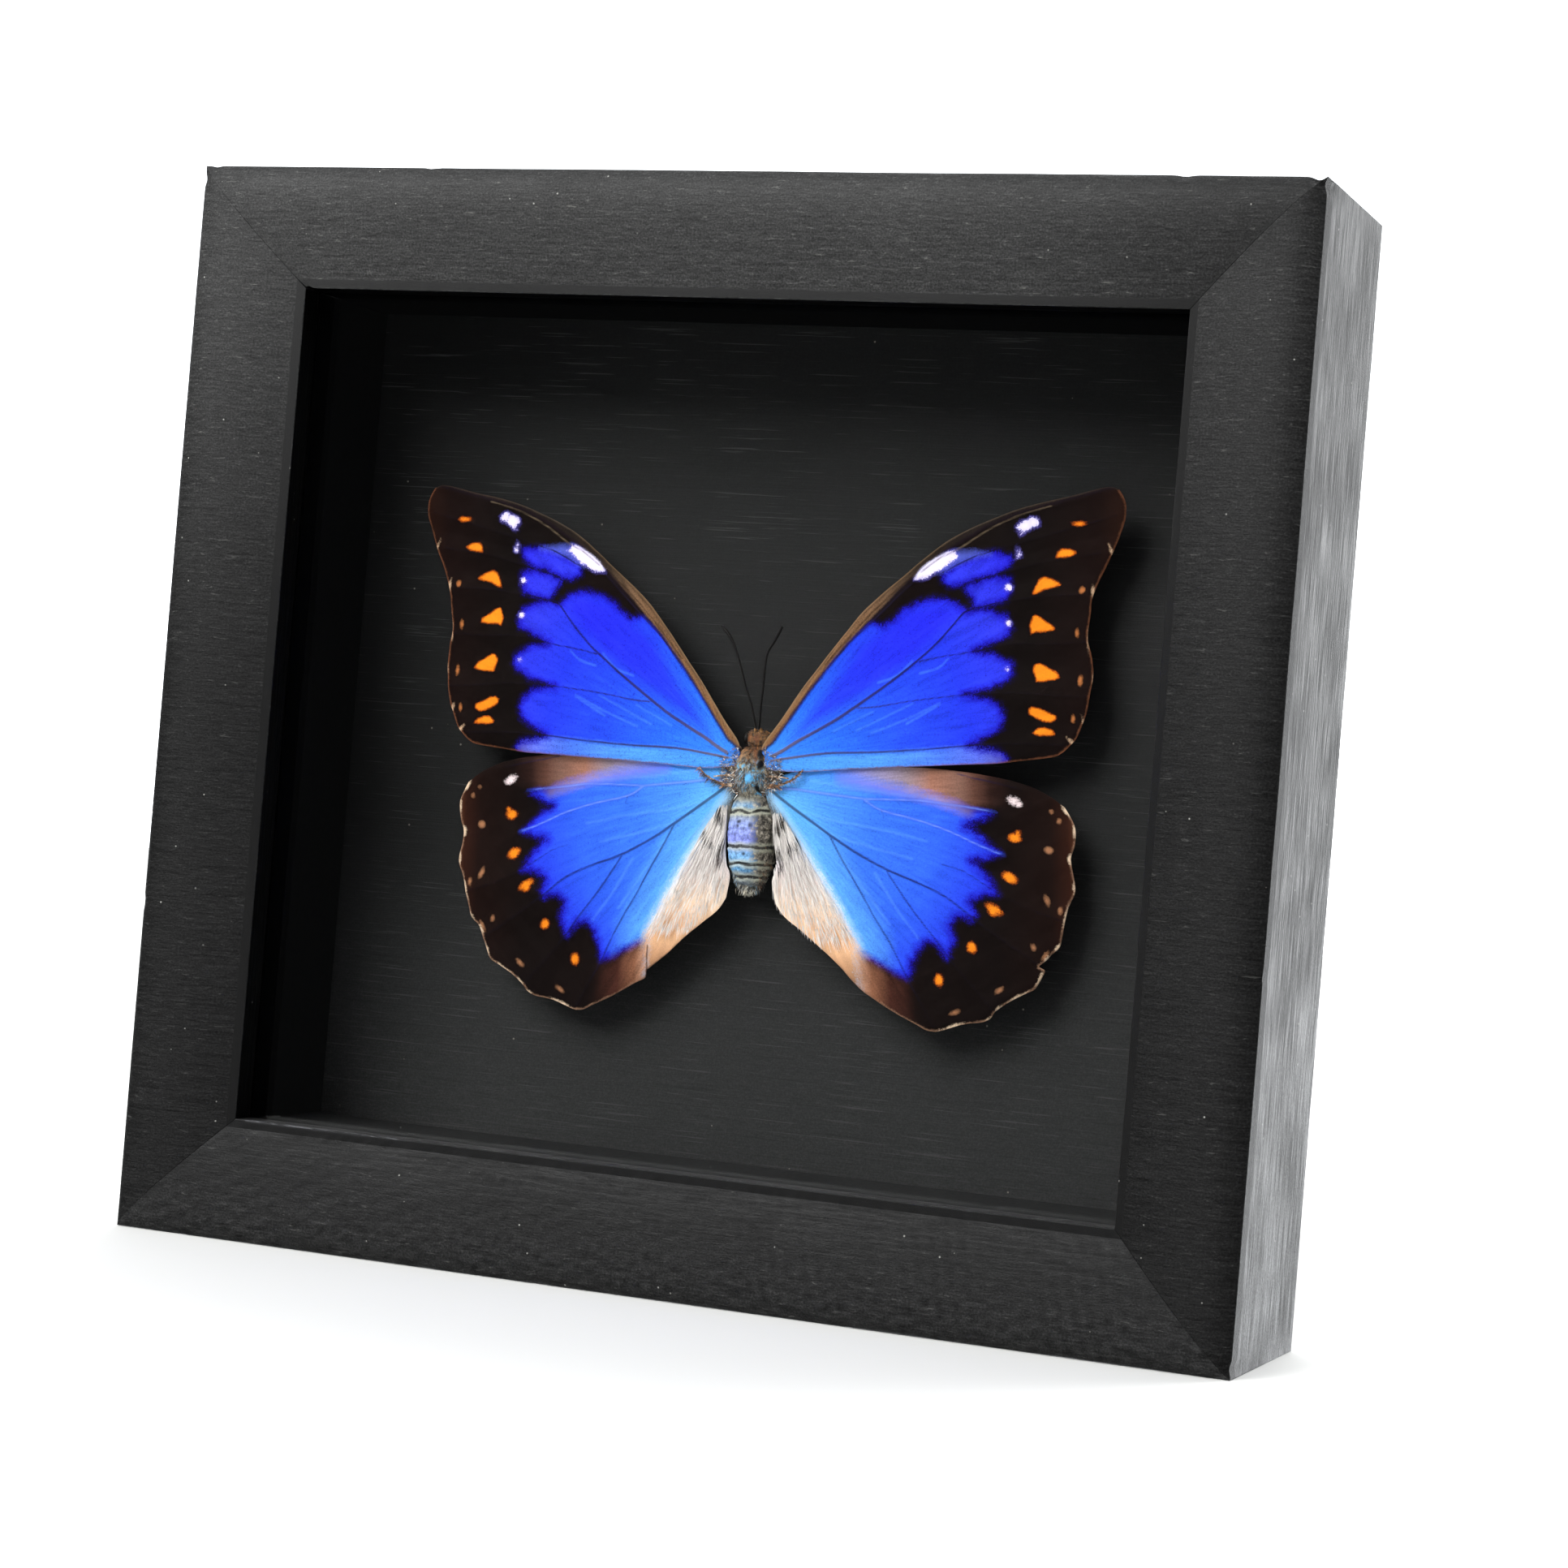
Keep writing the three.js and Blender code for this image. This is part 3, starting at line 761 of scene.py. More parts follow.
def wing_coordinates(tree):
    """The plan in millimetres, the rays from the wing's root, and the distance from the root."""
    plan = add(tree, "Attribute", out="Vector", attribute_name="plan")
    rays = add(tree, "Attribute", out="Vector", attribute_name="rays")
    parts = add(tree, "SeparateXYZ", Vector=rays).node
    return plan, rays, parts.outputs["Y"]


def scale_texture(tree, plan, rays):
    """Jitter that feathers the edges of marks along the rays, grain of the scales, and streaks.
    Scales are 0.1 mm across. The grain is drawn at 0.35 mm, the finest that shows."""
    fine = add(tree, "TexNoise", Vector=plan, Scale=3.2, Detail=2.0, Roughness=0.8)
    long_way = add(tree, "VectorMath", rays, (1.0, 0.3, 1.0), operation="MULTIPLY")
    feather = add(tree, "TexNoise", Vector=long_way, Scale=1.5, Detail=4.0, Roughness=0.7)
    jitter = add(tree, "Math", add(tree, "Math", fine, feather), -1.0)
    grain = add(tree, "TexNoise", Vector=plan, Scale=2.8, Detail=2.0, Roughness=0.85)
    stretched = add(tree, "VectorMath", rays, (1.0, 0.08, 1.0), operation="MULTIPLY")
    streak = add(tree, "TexNoise", Vector=stretched, Scale=1.6, Detail=3.0, Roughness=0.6)
    return jitter, grain, streak


def shaded(tree, colour, grain, streak, low, high):
    """Varies a colour's brightness by the scales' grain and streaks."""
    both = add(tree, "Math", grain, streak)
    gain = add(tree, "MapRange", Value=both, From_Min=0.7, From_Max=1.3, To_Min=low, To_Max=high)
    return add(tree, "VectorMath", colour, Scale=gain, operation="SCALE")


def wing_bump(tree, grain, streak):
    """Relief of the rows of scales, 0.02 mm high."""
    height = add(tree, "Math", streak, 0.6, grain, operation="MULTIPLY_ADD")
    return add(tree, "Bump", Height=height, Strength=0.5, Distance=0.04 * MM)


def flecked(tree, plan, colour, share, dark):
    """Darkens a colour in small flecks, where scales are lost."""
    flecks = add(tree, "TexNoise", Vector=plan, Scale=1.6, Detail=4.0, Roughness=0.8)
    flecks = add(tree, "MapRange", Value=flecks, From_Min=0.55, From_Max=0.66, To_Max=share)
    return add(tree, "Mix", Factor=flecks, A=colour, B=dark, data_type="RGBA")


def dusted(tree, place, colour, scale, reach, rare, share, paint):
    """Strews specks over a colour, one in each cell that chance puts over rare. scale is the number of
    cells per mm, and reach is where a speck ends and where it is full."""
    cells = add(tree, "TexVoronoi", Vector=place, Scale=scale, Randomness=1.0).node
    near = add(
        tree, "MapRange", Value=cells.outputs["Distance"], From_Min=reach[0], From_Max=reach[1])
    chance = add(tree, "SeparateXYZ", Vector=cells.outputs["Color"])
    picked = add(tree, "MapRange", Value=chance, From_Min=rare, From_Max=rare + 0.04, To_Max=share)
    dust = add(tree, "Math", near, picked, operation="MULTIPLY")
    return add(tree, "Mix", Factor=dust, A=colour, B=paint, data_type="RGBA")


def forewing_scales(settings):
    """Overlapping chitin scales, grown in rows. Their ribs give a satin, saturated blue. The pigment on
    the margins and spots is duller."""
    material, tree = surface("forewing scales, structural blue over brown chitin")
    plan, rays, reach = wing_coordinates(tree)
    jitter, grain, streak = scale_texture(tree, plan, rays)
    across = add(tree, "SeparateXYZ", Vector=plan)

    ground = ramp(
        tree, across, 0, 71, (0.0, "#120806"), (0.75, "#0b0504"), (0.93, "#130705"), (1.0, "#23110a"))
    blue = ramp(
        tree, reach, 0, 60, (0.0, "#3c8cf8"), (0.22, "#2c6cf8"), (0.45, "#264cf2"), (0.66, "#2438e8"),
        (0.84, "#3038e2"), (1.0, "#2c2cd8"))
    blue = painted(tree, blue, jitter, [("cell", 0.5, 1.6, 1.6, "#2424ec", 0.75)])
    hind = ramp(
        tree, across, 0, 50, (0.0, "#4c9cfa"), (0.5, "#56a2fa"), (0.75, "#5280fa"), (0.9, "#6272e6"),
        (1.0, "#5e5494"))
    blue = painted(tree, blue, jitter, [("hind", 0.0, 1.0, 0.7, hind, 0.9)])
    blue = shaded(tree, blue, grain, streak, 0.6, 1.16)
    blue = painted(tree, blue, jitter, [("crease", 0.0, 0.3, 0.25, "#62a8ff", 0.3)])
    brown = ramp(
        tree, across, 0, 70, (0.0, "#7a5638"), (0.3, "#76573e"), (0.38, "#5c4634"), (0.44, "#30261e"),
        (0.5, "#1e1713"), (0.72, "#1c1512"), (0.82, "#261c17"), (1.0, "#1e130f"))
    brown = shaded(tree, brown, grain, streak, 0.42, 1.5)
    pale_rim = ramp(
        tree, across, 0, 70, (0.0, "#8e7458"), (0.4, "#6c563e"), (0.6, "#54483c"), (1.0, "#2e221c"))
    vein = ramp(
        tree, reach, 0, 60, (0.0, "#6a5850"), (0.2, "#3c3040"), (0.5, "#1e1838"), (0.8, "#0e0810"))
    orange = shaded(tree, tuple(settings.orange), grain, streak, 0.78, 1.12)

    blue = flecked(tree, plan, blue, 0.6, "#180c8c")
    colour = painted(tree, ground, jitter, [
        ("blue", -0.5, 2.2, 0.5, "#0c0448", 0.85),
        ("blue", 0.1, 2.4, 0.45, "#180cac", 1.0),
        ("blue", 0.75, 2.6, 0.75, blue, 1.0),
        ("pale", 0.2, 1.2, 1.0, "#6474f2", 0.6),
        ("vein", 0.0, 0.1, 0.11, vein, 0.85),
        ("white", -0.1, 1.3, 0.4, "#6a60d0", 0.55),
        ("white", 0.12, 1.5, 0.16, "#dcd2fa", 1.0),
        ("brown", -0.4, 0.9, 0.25, "#140b12", 0.9),
        ("brown", 0.1, 0.5, 0.25, brown, 1.0),
        ("white", 0.7, 1.0, 0.2, "#e6deff", 0.95),
        ("sheen", 0.0, 0.2, 0.12, "#6a5a48", 0.7),
        ("costal_lines", 0.0, 0.4, 0.14, "#2a1a10", 0.8),
        ("costal_rim", 0.0, 0.4, 0.2, pale_rim, 0.8),
        ("orange", 0.0, 0.7, 0.14, "#a8480c", 1.0),
        ("orange", 0.22, 0.7, 0.16, orange, 1.0),
        ("tan", 0.0, 0.6, 0.2, "#b8703e", 0.85),
        ("rim", 0.0, 0.7, 0.2, "#7c4c34", 0.75),
        ("cream", 0.0, 0.6, 0.18, "#d8b290", 0.9),
    ])
    finish_surface(tree, Base_Color=colour, Roughness=0.7, Normal=wing_bump(tree, grain, streak),
                   Specular_IOR_Level=0.03, IOR=1.55)
    return material


def hindwing_scales(settings):
    """The same scales as on the forewing, paler towards the body, with a hairy, pigment-poor fold."""
    material, tree = surface("hindwing scales, structural blue over brown chitin")
    plan, rays, reach = wing_coordinates(tree)
    jitter, grain, streak = scale_texture(tree, plan, rays)
    across = add(tree, "SeparateXYZ", Vector=plan)
    up = across.node.outputs["Z"]

    ground = ramp(
        tree, across, 0, 62, (0.0, "#120806"), (0.75, "#0c0504"), (0.92, "#160906"), (0.97, "#2a130b"),
        (1.0, "#4a2818"))
    blue = ramp(
        tree, reach, 0, 48, (0.0, "#60b0f8"), (0.2, "#5099f8"), (0.45, "#3b76f6"), (0.72, "#3160f2"),
        (0.86, "#2a48ec"), (1.0, "#2430e0"))
    blue = painted(tree, blue, jitter, [("fold", -4.5, 2.0, 3.5, "#66b6fa", 0.75)])
    blue = shaded(tree, blue, grain, streak, 0.66, 1.14)
    blue = painted(tree, blue, jitter, [("crease", 0.0, 0.4, 0.3, "#7cc0ff", 0.2)])
    brown = ramp(
        tree, across, 12, 50, (0.0, "#5c84ee"), (0.2, "#747cd0"), (0.34, "#8e86b0"), (0.48, "#96828c"),
        (0.6, "#9c6c5a"), (0.74, "#7c5a4e"), (0.82, "#56382e"), (0.9, "#2a1814"), (1.0, "#120806"))
    brown = shaded(tree, brown, grain, streak, 0.68, 1.25)
    lilac = ramp(
        tree, across, 18, 44, (0.0, "#6678ee"), (0.4, "#7674c8"), (0.7, "#9088b8"), (1.0, "#5c4454"))
    fold = ramp(
        tree, up, -40, -6, (0.0, "#7a5238"), (0.14, "#b88a68"), (0.26, "#e6b68e"), (0.36, "#f8d0ac"),
        (0.46, "#fce2ca"), (0.6, "#f2e2dc"), (0.74, "#dcd6de"), (0.88, "#98948e"), (1.0, "#4c4842"))
    fold = shaded(tree, fold, grain, streak, 0.9, 1.25)
    tail = ramp(
        tree, across, 20, 31.5, (0.0, "#c4947a"), (0.25, "#80543e"), (0.55, "#40221a"), (1.0, "#1a0c08")
    )
    tail = shaded(tree, tail, grain, streak, 0.55, 1.3)
    vein = ramp(
        tree, reach, 0, 48, (0.0, "#38485c"), (0.3, "#24305c"), (0.7, "#181c50"), (1.0, "#0c0710"))
    orange = shaded(tree, tuple(settings.orange), grain, streak, 0.75, 1.1)

    blue = flecked(tree, plan, blue, 0.45, "#1c2ca8")
    colour = painted(tree, ground, jitter, [
        ("blue", -0.5, 2.2, 0.5, "#0e0650", 0.85),
        ("blue", 0.15, 2.6, 0.55, "#1a10b4", 1.0),
        ("blue", 0.95, 2.8, 0.9, blue, 1.0),
        ("pink", -0.3, 1.2, 1.0, lilac, 0.85),
        ("brown", 0.1, 1.8, 1.1, brown, 1.0),
        ("fold", -0.9, 1.8, 0.9, "#a6d0f2", 0.85),
        ("tail", 0.2, 2.4, 1.3, tail, 1.0),
        ("fold", 0.2, 2.6, 1.0, fold, 1.0),
        ("vein", 0.0, 0.1, 0.13, vein, 0.85),
        ("pale_vein", -0.16, 0.3, 0.2, "#2c48c8", 0.5),
        ("pale_vein", 0.0, 0.1, 0.13, "#86a4f4", 0.55),
        ("white", 0.05, 1.3, 0.3, "#e6d2d4", 1.0),
        ("orange", 0.0, 1.0, 0.2, "#9a4210", 1.0),
        ("orange", 0.22, 1.0, 0.2, orange, 1.0),
        ("tan", 0.0, 0.6, 0.25, "#a87452", 0.85),
        ("rim", 0.06, 0.9, 0.2, "#94705a", 0.8),
        ("cream", 0.1, 0.8, 0.2, "#e6caac", 0.9),
        ("tear", 0.0, 0.1, 0.1, "#3a2018", 0.8),
    ])
    finish_surface(tree, Base_Color=colour, Roughness=0.7, Normal=wing_bump(tree, grain, streak),
                   Specular_IOR_Level=0.03, IOR=1.55)
    return material


def painted_wood():
    """Pine, planed, with one thin layer of matt black water-based paint, which leaves the pores open.
    It gives short lengthwise pits, a dull grain and a few specks of pale dust."""
    material, tree = surface("painted pine, matt black")
    place = add(tree, "Attribute", out="Vector", attribute_name="grain")
    pores = add(tree, "VectorMath", place, (0.42, 2.3, 1.0), operation="MULTIPLY")
    pore = add(tree, "TexNoise", Vector=pores, Scale=1.0, Detail=3.0, Roughness=0.62, Distortion=0.7)
    long_grain = add(tree, "VectorMath", place, (0.08, 1.7, 1.0), operation="MULTIPLY")
    figure = add(tree, "TexNoise", Vector=long_grain, Scale=1.0, Detail=4.0, Roughness=0.6)
    tooth = add(tree, "TexNoise", Vector=place, Scale=2.6, Detail=3.0, Roughness=0.7)
    patches = add(tree, "TexNoise", Vector=place, Scale=0.05, Detail=2.0)

    tone = add(tree, "Math", pore, 0.55, tooth, operation="MULTIPLY_ADD")
    tone = add(tree, "Math", figure, 0.35, tone, operation="MULTIPLY_ADD")
    colour = add(
        tree, "ValToRGB", Fac=add(tree, "MapRange", Value=tone, From_Min=0.65, From_Max=1.25),
        stops=[(0.0, "#121212"), (0.4, "#1e1e1e"), (0.7, "#292929"), (1.0, "#3a3a3a")])
    # The rails' point attribute read here scales the paint's colour: its own tone, with painted light
    # and shade.
    tone_and_painted_light = add(tree, "Attribute", out="Fac", attribute_name="tone_and_painted_light")
    colour = add(tree, "VectorMath", colour, Scale=tone_and_painted_light, operation="SCALE")
    streaks = add(tree, "MapRange", Value=pore, From_Min=0.65, From_Max=0.74, To_Max=0.5)
    streaks = add(tree, "Math", streaks, tone_and_painted_light, operation="MULTIPLY")
    colour = add(tree, "Mix", Factor=streaks, A=colour, B="#5b5b58", data_type="RGBA")
    wear = add(tree, "Attribute", out="Fac", attribute_name="wear")
    frayed = add(tree, "Math", pore, wear, operation="MULTIPLY")
    frayed = add(tree, "MapRange", Value=frayed, From_Min=0.4, From_Max=0.62, To_Max=0.6)
    colour = add(tree, "Mix", Factor=frayed, A=colour, B="#78787c", data_type="RGBA")
    colour = dusted(tree, place, colour, 0.42, (0.09, 0.05), 0.86, 0.55, "#b8b8b2")

    height = add(tree, "Math", pore, 0.8, tooth, operation="MULTIPLY_ADD")
    height = add(tree, "Math", figure, 0.7, height, operation="MULTIPLY_ADD")
    bump = add(tree, "Bump", Height=height, Strength=0.8, Distance=0.1 * MM)
    uneven = add(tree, "Math", patches, 0.3, figure, operation="MULTIPLY_ADD")
    gloss = add(tree, "MapRange", Value=uneven, From_Min=0.5, From_Max=0.8, To_Min=0.36, To_Max=0.66)
    finish_surface(
        tree, Base_Color=colour, Roughness=gloss, Normal=bump, IOR=1.5, Specular_IOR_Level=0.12)
    return material


def laid_card():
    """Black mount board with a laid face: fine level ribs rolled into it, with dust and painted sheen
    on their crests and painted shade between them. Painted shade makes it darker towards the top,
    under the top rail, and a band near the left is lighter at mid height and darker above and below."""
    material, tree = surface("mount board, black laid paper")
    place = add(tree, "TexCoord", out="Object")
    scaled = add(tree, "VectorMath", place, Scale=1000.0, operation="SCALE")
    lines = add(tree, "VectorMath", scaled, (0.06, 1.0, 3.2), operation="MULTIPLY")
    rib = add(tree, "TexNoise", Vector=lines, Scale=1.0, Detail=2.0, Roughness=0.6)
    short = add(tree, "VectorMath", scaled, (0.5, 1.0, 3.0), operation="MULTIPLY")
    scratch = add(tree, "TexNoise", Vector=short, Scale=1.0, Detail=3.0, Roughness=0.7)
    tooth = add(tree, "TexNoise", Vector=scaled, Scale=2.6, Detail=3.0, Roughness=0.8)
    tone = add(tree, "Math", scratch, 0.4, tooth, operation="MULTIPLY_ADD")
    colour = ramp(tree, tone, 0.4, 1.0, (0.0, "#242424"), (0.5, "#363636"), (1.0, "#4a4a4a"))
    up = add(tree, "SeparateXYZ", Vector=scaled).node.outputs["Z"]
    # Painted shade: darker towards the top, where the top rail shades the board.
    painted_shade = ramp(
        tree, up, -85, 85, (0.0, "#f0f0f0"), (0.25, "#d4d4d4"), (0.6, "#c4c4c4"), (0.82, "#a8a8a8"),
        (1.0, "#686868"))
    colour = add(tree, "Mix", Factor=1.0, A=colour, B=painted_shade, data_type="RGBA", blend_type="MULTIPLY")
    # Near the left side, painted light and shade: lighter at mid height, darker above and below.
    across = add(tree, "SeparateXYZ", Vector=scaled)
    left = add(tree, "MapRange", Value=across, From_Min=-25, From_Max=-62)
    left_painted_shade = ramp(
        tree, up, -85, 85, (0.0, "#989898"), (0.25, "#a8a8a8"), (0.5, "#e4e4e4"), (0.7, "#c0c0c0"),
        (0.95, "#8c8c8c"))
    painted_shade = add(tree, "Mix", Factor=left, A="#bcbcbc", B=left_painted_shade, data_type="RGBA")
    colour = add(tree, "Mix", Factor=1.0, A=colour, B=painted_shade, data_type="RGBA", blend_type="MULTIPLY")
    colour = add(tree, "VectorMath", colour, Scale=1.95, operation="SCALE")
    # Pale lines on the ribs' crests are painted sheen with dust; dark lines between them are painted
    # shade.
    for low, high, share, paint in ((0.64, 0.68, 0.22, "#585858"), (0.38, 0.34, 0.34, "#0c0c0c")):
        line = add(tree, "MapRange", Value=rib, From_Min=low, From_Max=high, To_Max=share)
        colour = add(tree, "Mix", Factor=line, A=colour, B=paint, data_type="RGBA")
    colour = dusted(tree, scaled, colour, 0.3, (0.07, 0.04), 0.88, 0.4, "#a09c90")
    height = add(tree, "Math", tooth, 0.4, rib, operation="MULTIPLY_ADD")
    bump = add(tree, "Bump", Height=height, Strength=0.6, Distance=0.06 * MM)
    finish_surface(tree, Base_Color=colour, Roughness=0.7, Normal=bump, IOR=1.5, Specular_IOR_Level=0.2)
    return material


def black_foam_card(low, high):
    """Foam-centred card, cut and covered in black paper: dull, and greyer where dust settles on it."""
    material, tree = surface("foam-centred card, black")
    place = add(tree, "TexCoord", out="Object")
    tooth = add(tree, "TexNoise", Vector=place, Scale=900.0, Detail=3.0)
    colour = add(tree, "ValToRGB", Fac=tooth, stops=[(0.3, low), (0.7, high)])
    bump = add(tree, "Bump", Height=tooth, Strength=0.4, Distance=0.04 * MM)
    finish_surface(
        tree, Base_Color=colour, Roughness=0.9, Normal=bump, IOR=1.5, Specular_IOR_Level=0.05)
    return material


def float_glass():
    """Float glass with a coating that stops reflections, so the case looks open from the front."""
    material, tree = surface("float glass, low reflection")
    finish_surface(tree, Base_Color=srgb("#fdfffe"), Roughness=0.0, IOR=1.5, Transmission_Weight=1.0,
                   Specular_IOR_Level=0.0)
    return material


def hardboard():
    """Tempered hardboard, pressed wood fibre. Its smooth face is brown with darker and paler fibres."""
    material, tree = surface("hardboard, smooth face")
    place = add(tree, "TexCoord", out="Object")
    scaled = add(tree, "VectorMath", place, Scale=1000.0, operation="SCALE")
    warp = add(tree, "TexNoise", Vector=scaled, Scale=0.3, Detail=2.0, out="Color")
    bent = add(tree, "VectorMath", warp, (7.0, 7.0, 7.0), scaled, operation="MULTIPLY_ADD")
    fibres = add(tree, "TexNoise", Vector=bent, Scale=1.6, Detail=4.0, Roughness=0.7)
    clouds = add(tree, "TexNoise", Vector=scaled, Scale=0.03, Detail=3.0)
    tone = add(tree, "Math", clouds, 0.16, fibres, operation="MULTIPLY_ADD")
    colour = ramp(
        tree, tone, 0.33, 0.83, (0.0, "#2e2018"), (0.4, "#4c3628"), (0.7, "#614834"), (1.0, "#7e6246"))
    bump = add(tree, "Bump", Height=fibres, Strength=0.5, Distance=0.05 * MM)
    finish_surface(tree, Base_Color=colour, Roughness=0.55, Normal=bump, IOR=1.5)
    return material


def zinc_plate():
    """Mild steel, stamped and zinc plated: a bright cold grey with faint clouding."""
    material, tree = surface("zinc-plated steel, stamped")
    place = add(tree, "TexCoord", out="Object")
    clouds = add(tree, "TexNoise", Vector=place, Scale=420.0, Detail=3.0)
    colour = add(tree, "ValToRGB", Fac=clouds, stops=[(0.3, "#626464"), (0.7, "#868886")])
    gloss = add(tree, "MapRange", Value=clouds, From_Min=0.3, From_Max=0.7, To_Min=0.28, To_Max=0.46)
    bump = add(tree, "Bump", Height=clouds, Strength=0.15, Distance=0.02 * MM)
    finish_surface(tree, Base_Color=colour, Metallic=1.0, Roughness=gloss, Normal=bump)
    return material


def body_scales():
    """Cuticle under scales and felted hair: brown in front, with grey-blue flecks on the thorax."""
    material, tree = surface("body cuticle, scaled")
    place = add(tree, "Attribute", out="Vector", attribute_name="plan")
    up = add(tree, "SeparateXYZ", Vector=place).node.outputs["Z"]
    mottle = add(tree, "TexNoise", Vector=place, Scale=1.1, Detail=4.0, Roughness=0.75)
    fleck = add(tree, "TexNoise", Vector=place, Scale=1.5, Detail=2.0, out="Color")
    fleck = add(tree, "SeparateXYZ", Vector=fleck)
    jitter = add(tree, "Math", mottle, -0.5)
    shift = add(tree, "Math", mottle, 4.0, up, operation="MULTIPLY_ADD")
    base = ramp(
        tree, shift, -3, 9, (0.0, "#8a8474"), (0.3, "#5c6c74"), (0.5, "#7c7868"), (0.6, "#6e5a44"),
        (0.78, "#6e4a2a"), (1.0, "#7e5a34"))
    light = add(tree, "MapRange", Value=mottle, From_Min=0.36, From_Max=0.64, To_Min=0.1, To_Max=2.1)
    base = add(tree, "VectorMath", base, Scale=light, operation="SCALE")
    rear = add(tree, "MapRange", Value=up, From_Min=2.4, From_Max=1.0)
    spots = add(tree, "MapRange", Value=fleck, From_Min=0.54, From_Max=0.6)
    blue = add(tree, "Math", rear, spots, operation="MULTIPLY")
    base = add(tree, "Mix", Factor=blue, A=base, B="#62a4cc", data_type="RGBA")
    base = painted(tree, base, jitter, [
        ("patch", 0.0, 1.4, 0.3, "#5cb0ea", 0.9), ("ridge", 0.0, 0.8, 0.15, "#b89c7c", 0.85),
        ("ridge_red", 0.0, 0.8, 0.15, "#6a3a1c", 0.8), ("pin", 0.0, 0.5, 0.15, "#050404", 1.0)])
    bump = add(tree, "Bump", Height=mottle, Strength=0.9, Distance=0.25 * MM)
    finish_surface(tree, Base_Color=base, Roughness=0.7, Normal=bump, IOR=1.55, Specular_IOR_Level=0.3)
    return material


def root_cuticle():
    """Hard lumps and struts at the wings' roots: pale, part rubbed bare, with dark hollows between."""
    material, tree = surface("horny cuticle, pale and rubbed")
    place = add(tree, "TexCoord", out="Object")
    mottle = add(tree, "TexNoise", Vector=place, Scale=900.0, Detail=3.0, Roughness=0.75)
    colour = ramp(
        tree, mottle, 0.3, 0.7, (0.0, "#2a1a10"), (0.35, "#7a5a42"), (0.6, "#c4a68a"), (1.0, "#efe4da"))
    bump = add(tree, "Bump", Height=mottle, Strength=0.8, Distance=0.15 * MM)
    finish_surface(
        tree, Base_Color=colour, Roughness=0.5, Normal=bump, IOR=1.55, Specular_IOR_Level=0.4)
    return material


def body_hair():
    """Fine hair of hollow chitin: every hair has one tint, brown, grey or pale, with a dry sheen."""
    material, tree = surface("chitin hair, brown and grey")
    tint = add(tree, "Attribute", out="Fac", attribute_name="tint")
    colour = add(tree, "ValToRGB", Fac=tint, stops=[
        (0.0, "#1e150e"), (0.2, "#4a2c14"), (0.4, "#8a5626"), (0.5, "#6e6658"), (0.68, "#a49c8a"),
        (0.8, "#5c8cae"), (0.9, "#88b8e0"), (1.0, "#e4dccb"),
    ])
    light = add(tree, "Attribute", out="Fac", attribute_name="light")
    colour = add(tree, "VectorMath", colour, Scale=light, operation="SCALE")
    finish_surface(tree, Base_Color=colour, Roughness=0.6, IOR=1.55, Specular_IOR_Level=0.3,
                   Sheen_Weight=0.25, Sheen_Roughness=0.5)
    return material


def abdomen_scales():
    """Rings of overlapping scales: pale blue and lilac along the back. Painted shade turns the right
    side darker and grey-brown.
    """
    material, tree = surface("abdomen cuticle, scaled")
    place = add(tree, "Attribute", out="Vector", attribute_name="plan")
    parts = add(tree, "SeparateXYZ", Vector=place).node
    mottle = add(tree, "TexNoise", Vector=place, Scale=1.3, Detail=4.0, Roughness=0.72)
    jitter = add(tree, "Math", mottle, -0.5)
    along = add(tree, "Math", jitter, 2.0, parts.outputs["Z"], operation="MULTIPLY_ADD")
    bands = add(
        tree, "ValToRGB", Fac=add(tree, "MapRange", Value=along, From_Min=-23.5, From_Max=-4.5),
        stops=[
            (0.0, "#d8c8a0"), (0.08, "#7c7a70"), (0.2, "#3f6f9c"), (0.3, "#6fb4e8"), (0.42, "#86b8ee"),
            (0.55, "#8a94ea"), (0.72, "#93a4e0"), (0.82, "#9aa090"), (0.88, "#6a9cc8"),
            (0.95, "#8c8c84"), (1.0, "#a09c92"),
        ])
    # Painted shade: towards the right side the bands give way to the darker, grey-brown colours named
    # rubbed.
    right_side_shade = add(tree, "Math", jitter, 5.0, parts.outputs["X"], operation="MULTIPLY_ADD")
    right_side_shade = add(tree, "MapRange", Value=right_side_shade, From_Min=0.9, From_Max=2.2)
    rubbed = add(tree, "ValToRGB", Fac=mottle, stops=[
        (0.34, "#241f1a"), (0.45, "#504a41"), (0.55, "#787065"), (0.68, "#aca496"),
    ])
    colour = add(tree, "Mix", Factor=right_side_shade, A=bands, B=rubbed, data_type="RGBA")
    light = add(tree, "MapRange", Value=mottle, From_Min=0.36, From_Max=0.64, To_Min=0.45, To_Max=1.3)
    colour = add(tree, "VectorMath", colour, Scale=light, operation="SCALE")
    colour = painted(tree, colour, jitter, [("ring", -0.5, 1.2, 0.3, "#c4c4ae", 0.6),
                                            ("ring", 0.0, 1.0, 0.14, "#100c0a", 0.97),
                                            ("speck", 0.0, 0.8, 0.15, "#1c1a26", 0.9)])
    bump = add(tree, "Bump", Height=mottle, Strength=0.9, Distance=0.22 * MM)
    finish_surface(
        tree, Base_Color=colour, Roughness=0.62, Normal=bump, IOR=1.55, Specular_IOR_Level=0.35)
    return material


def dark_cuticle():
    """Bare, hardened cuticle: near black with a low gloss."""
    material, tree = surface("horny cuticle, bare")
    place = add(tree, "TexCoord", out="Object")
    rings = add(tree, "TexNoise", Vector=place, Scale=2500.0, Detail=1.0)
    colour = add(tree, "ValToRGB", Fac=rings, stops=[(0.3, "#040303"), (0.7, "#100b09")])
    bump = add(tree, "Bump", Height=rings, Strength=0.3, Distance=0.02 * MM)
    finish_surface(
        tree, Base_Color=colour, Roughness=0.6, Normal=bump, IOR=1.56, Specular_IOR_Level=0.15)
    return material


# ---------------------------------------------------------------- frame pieces

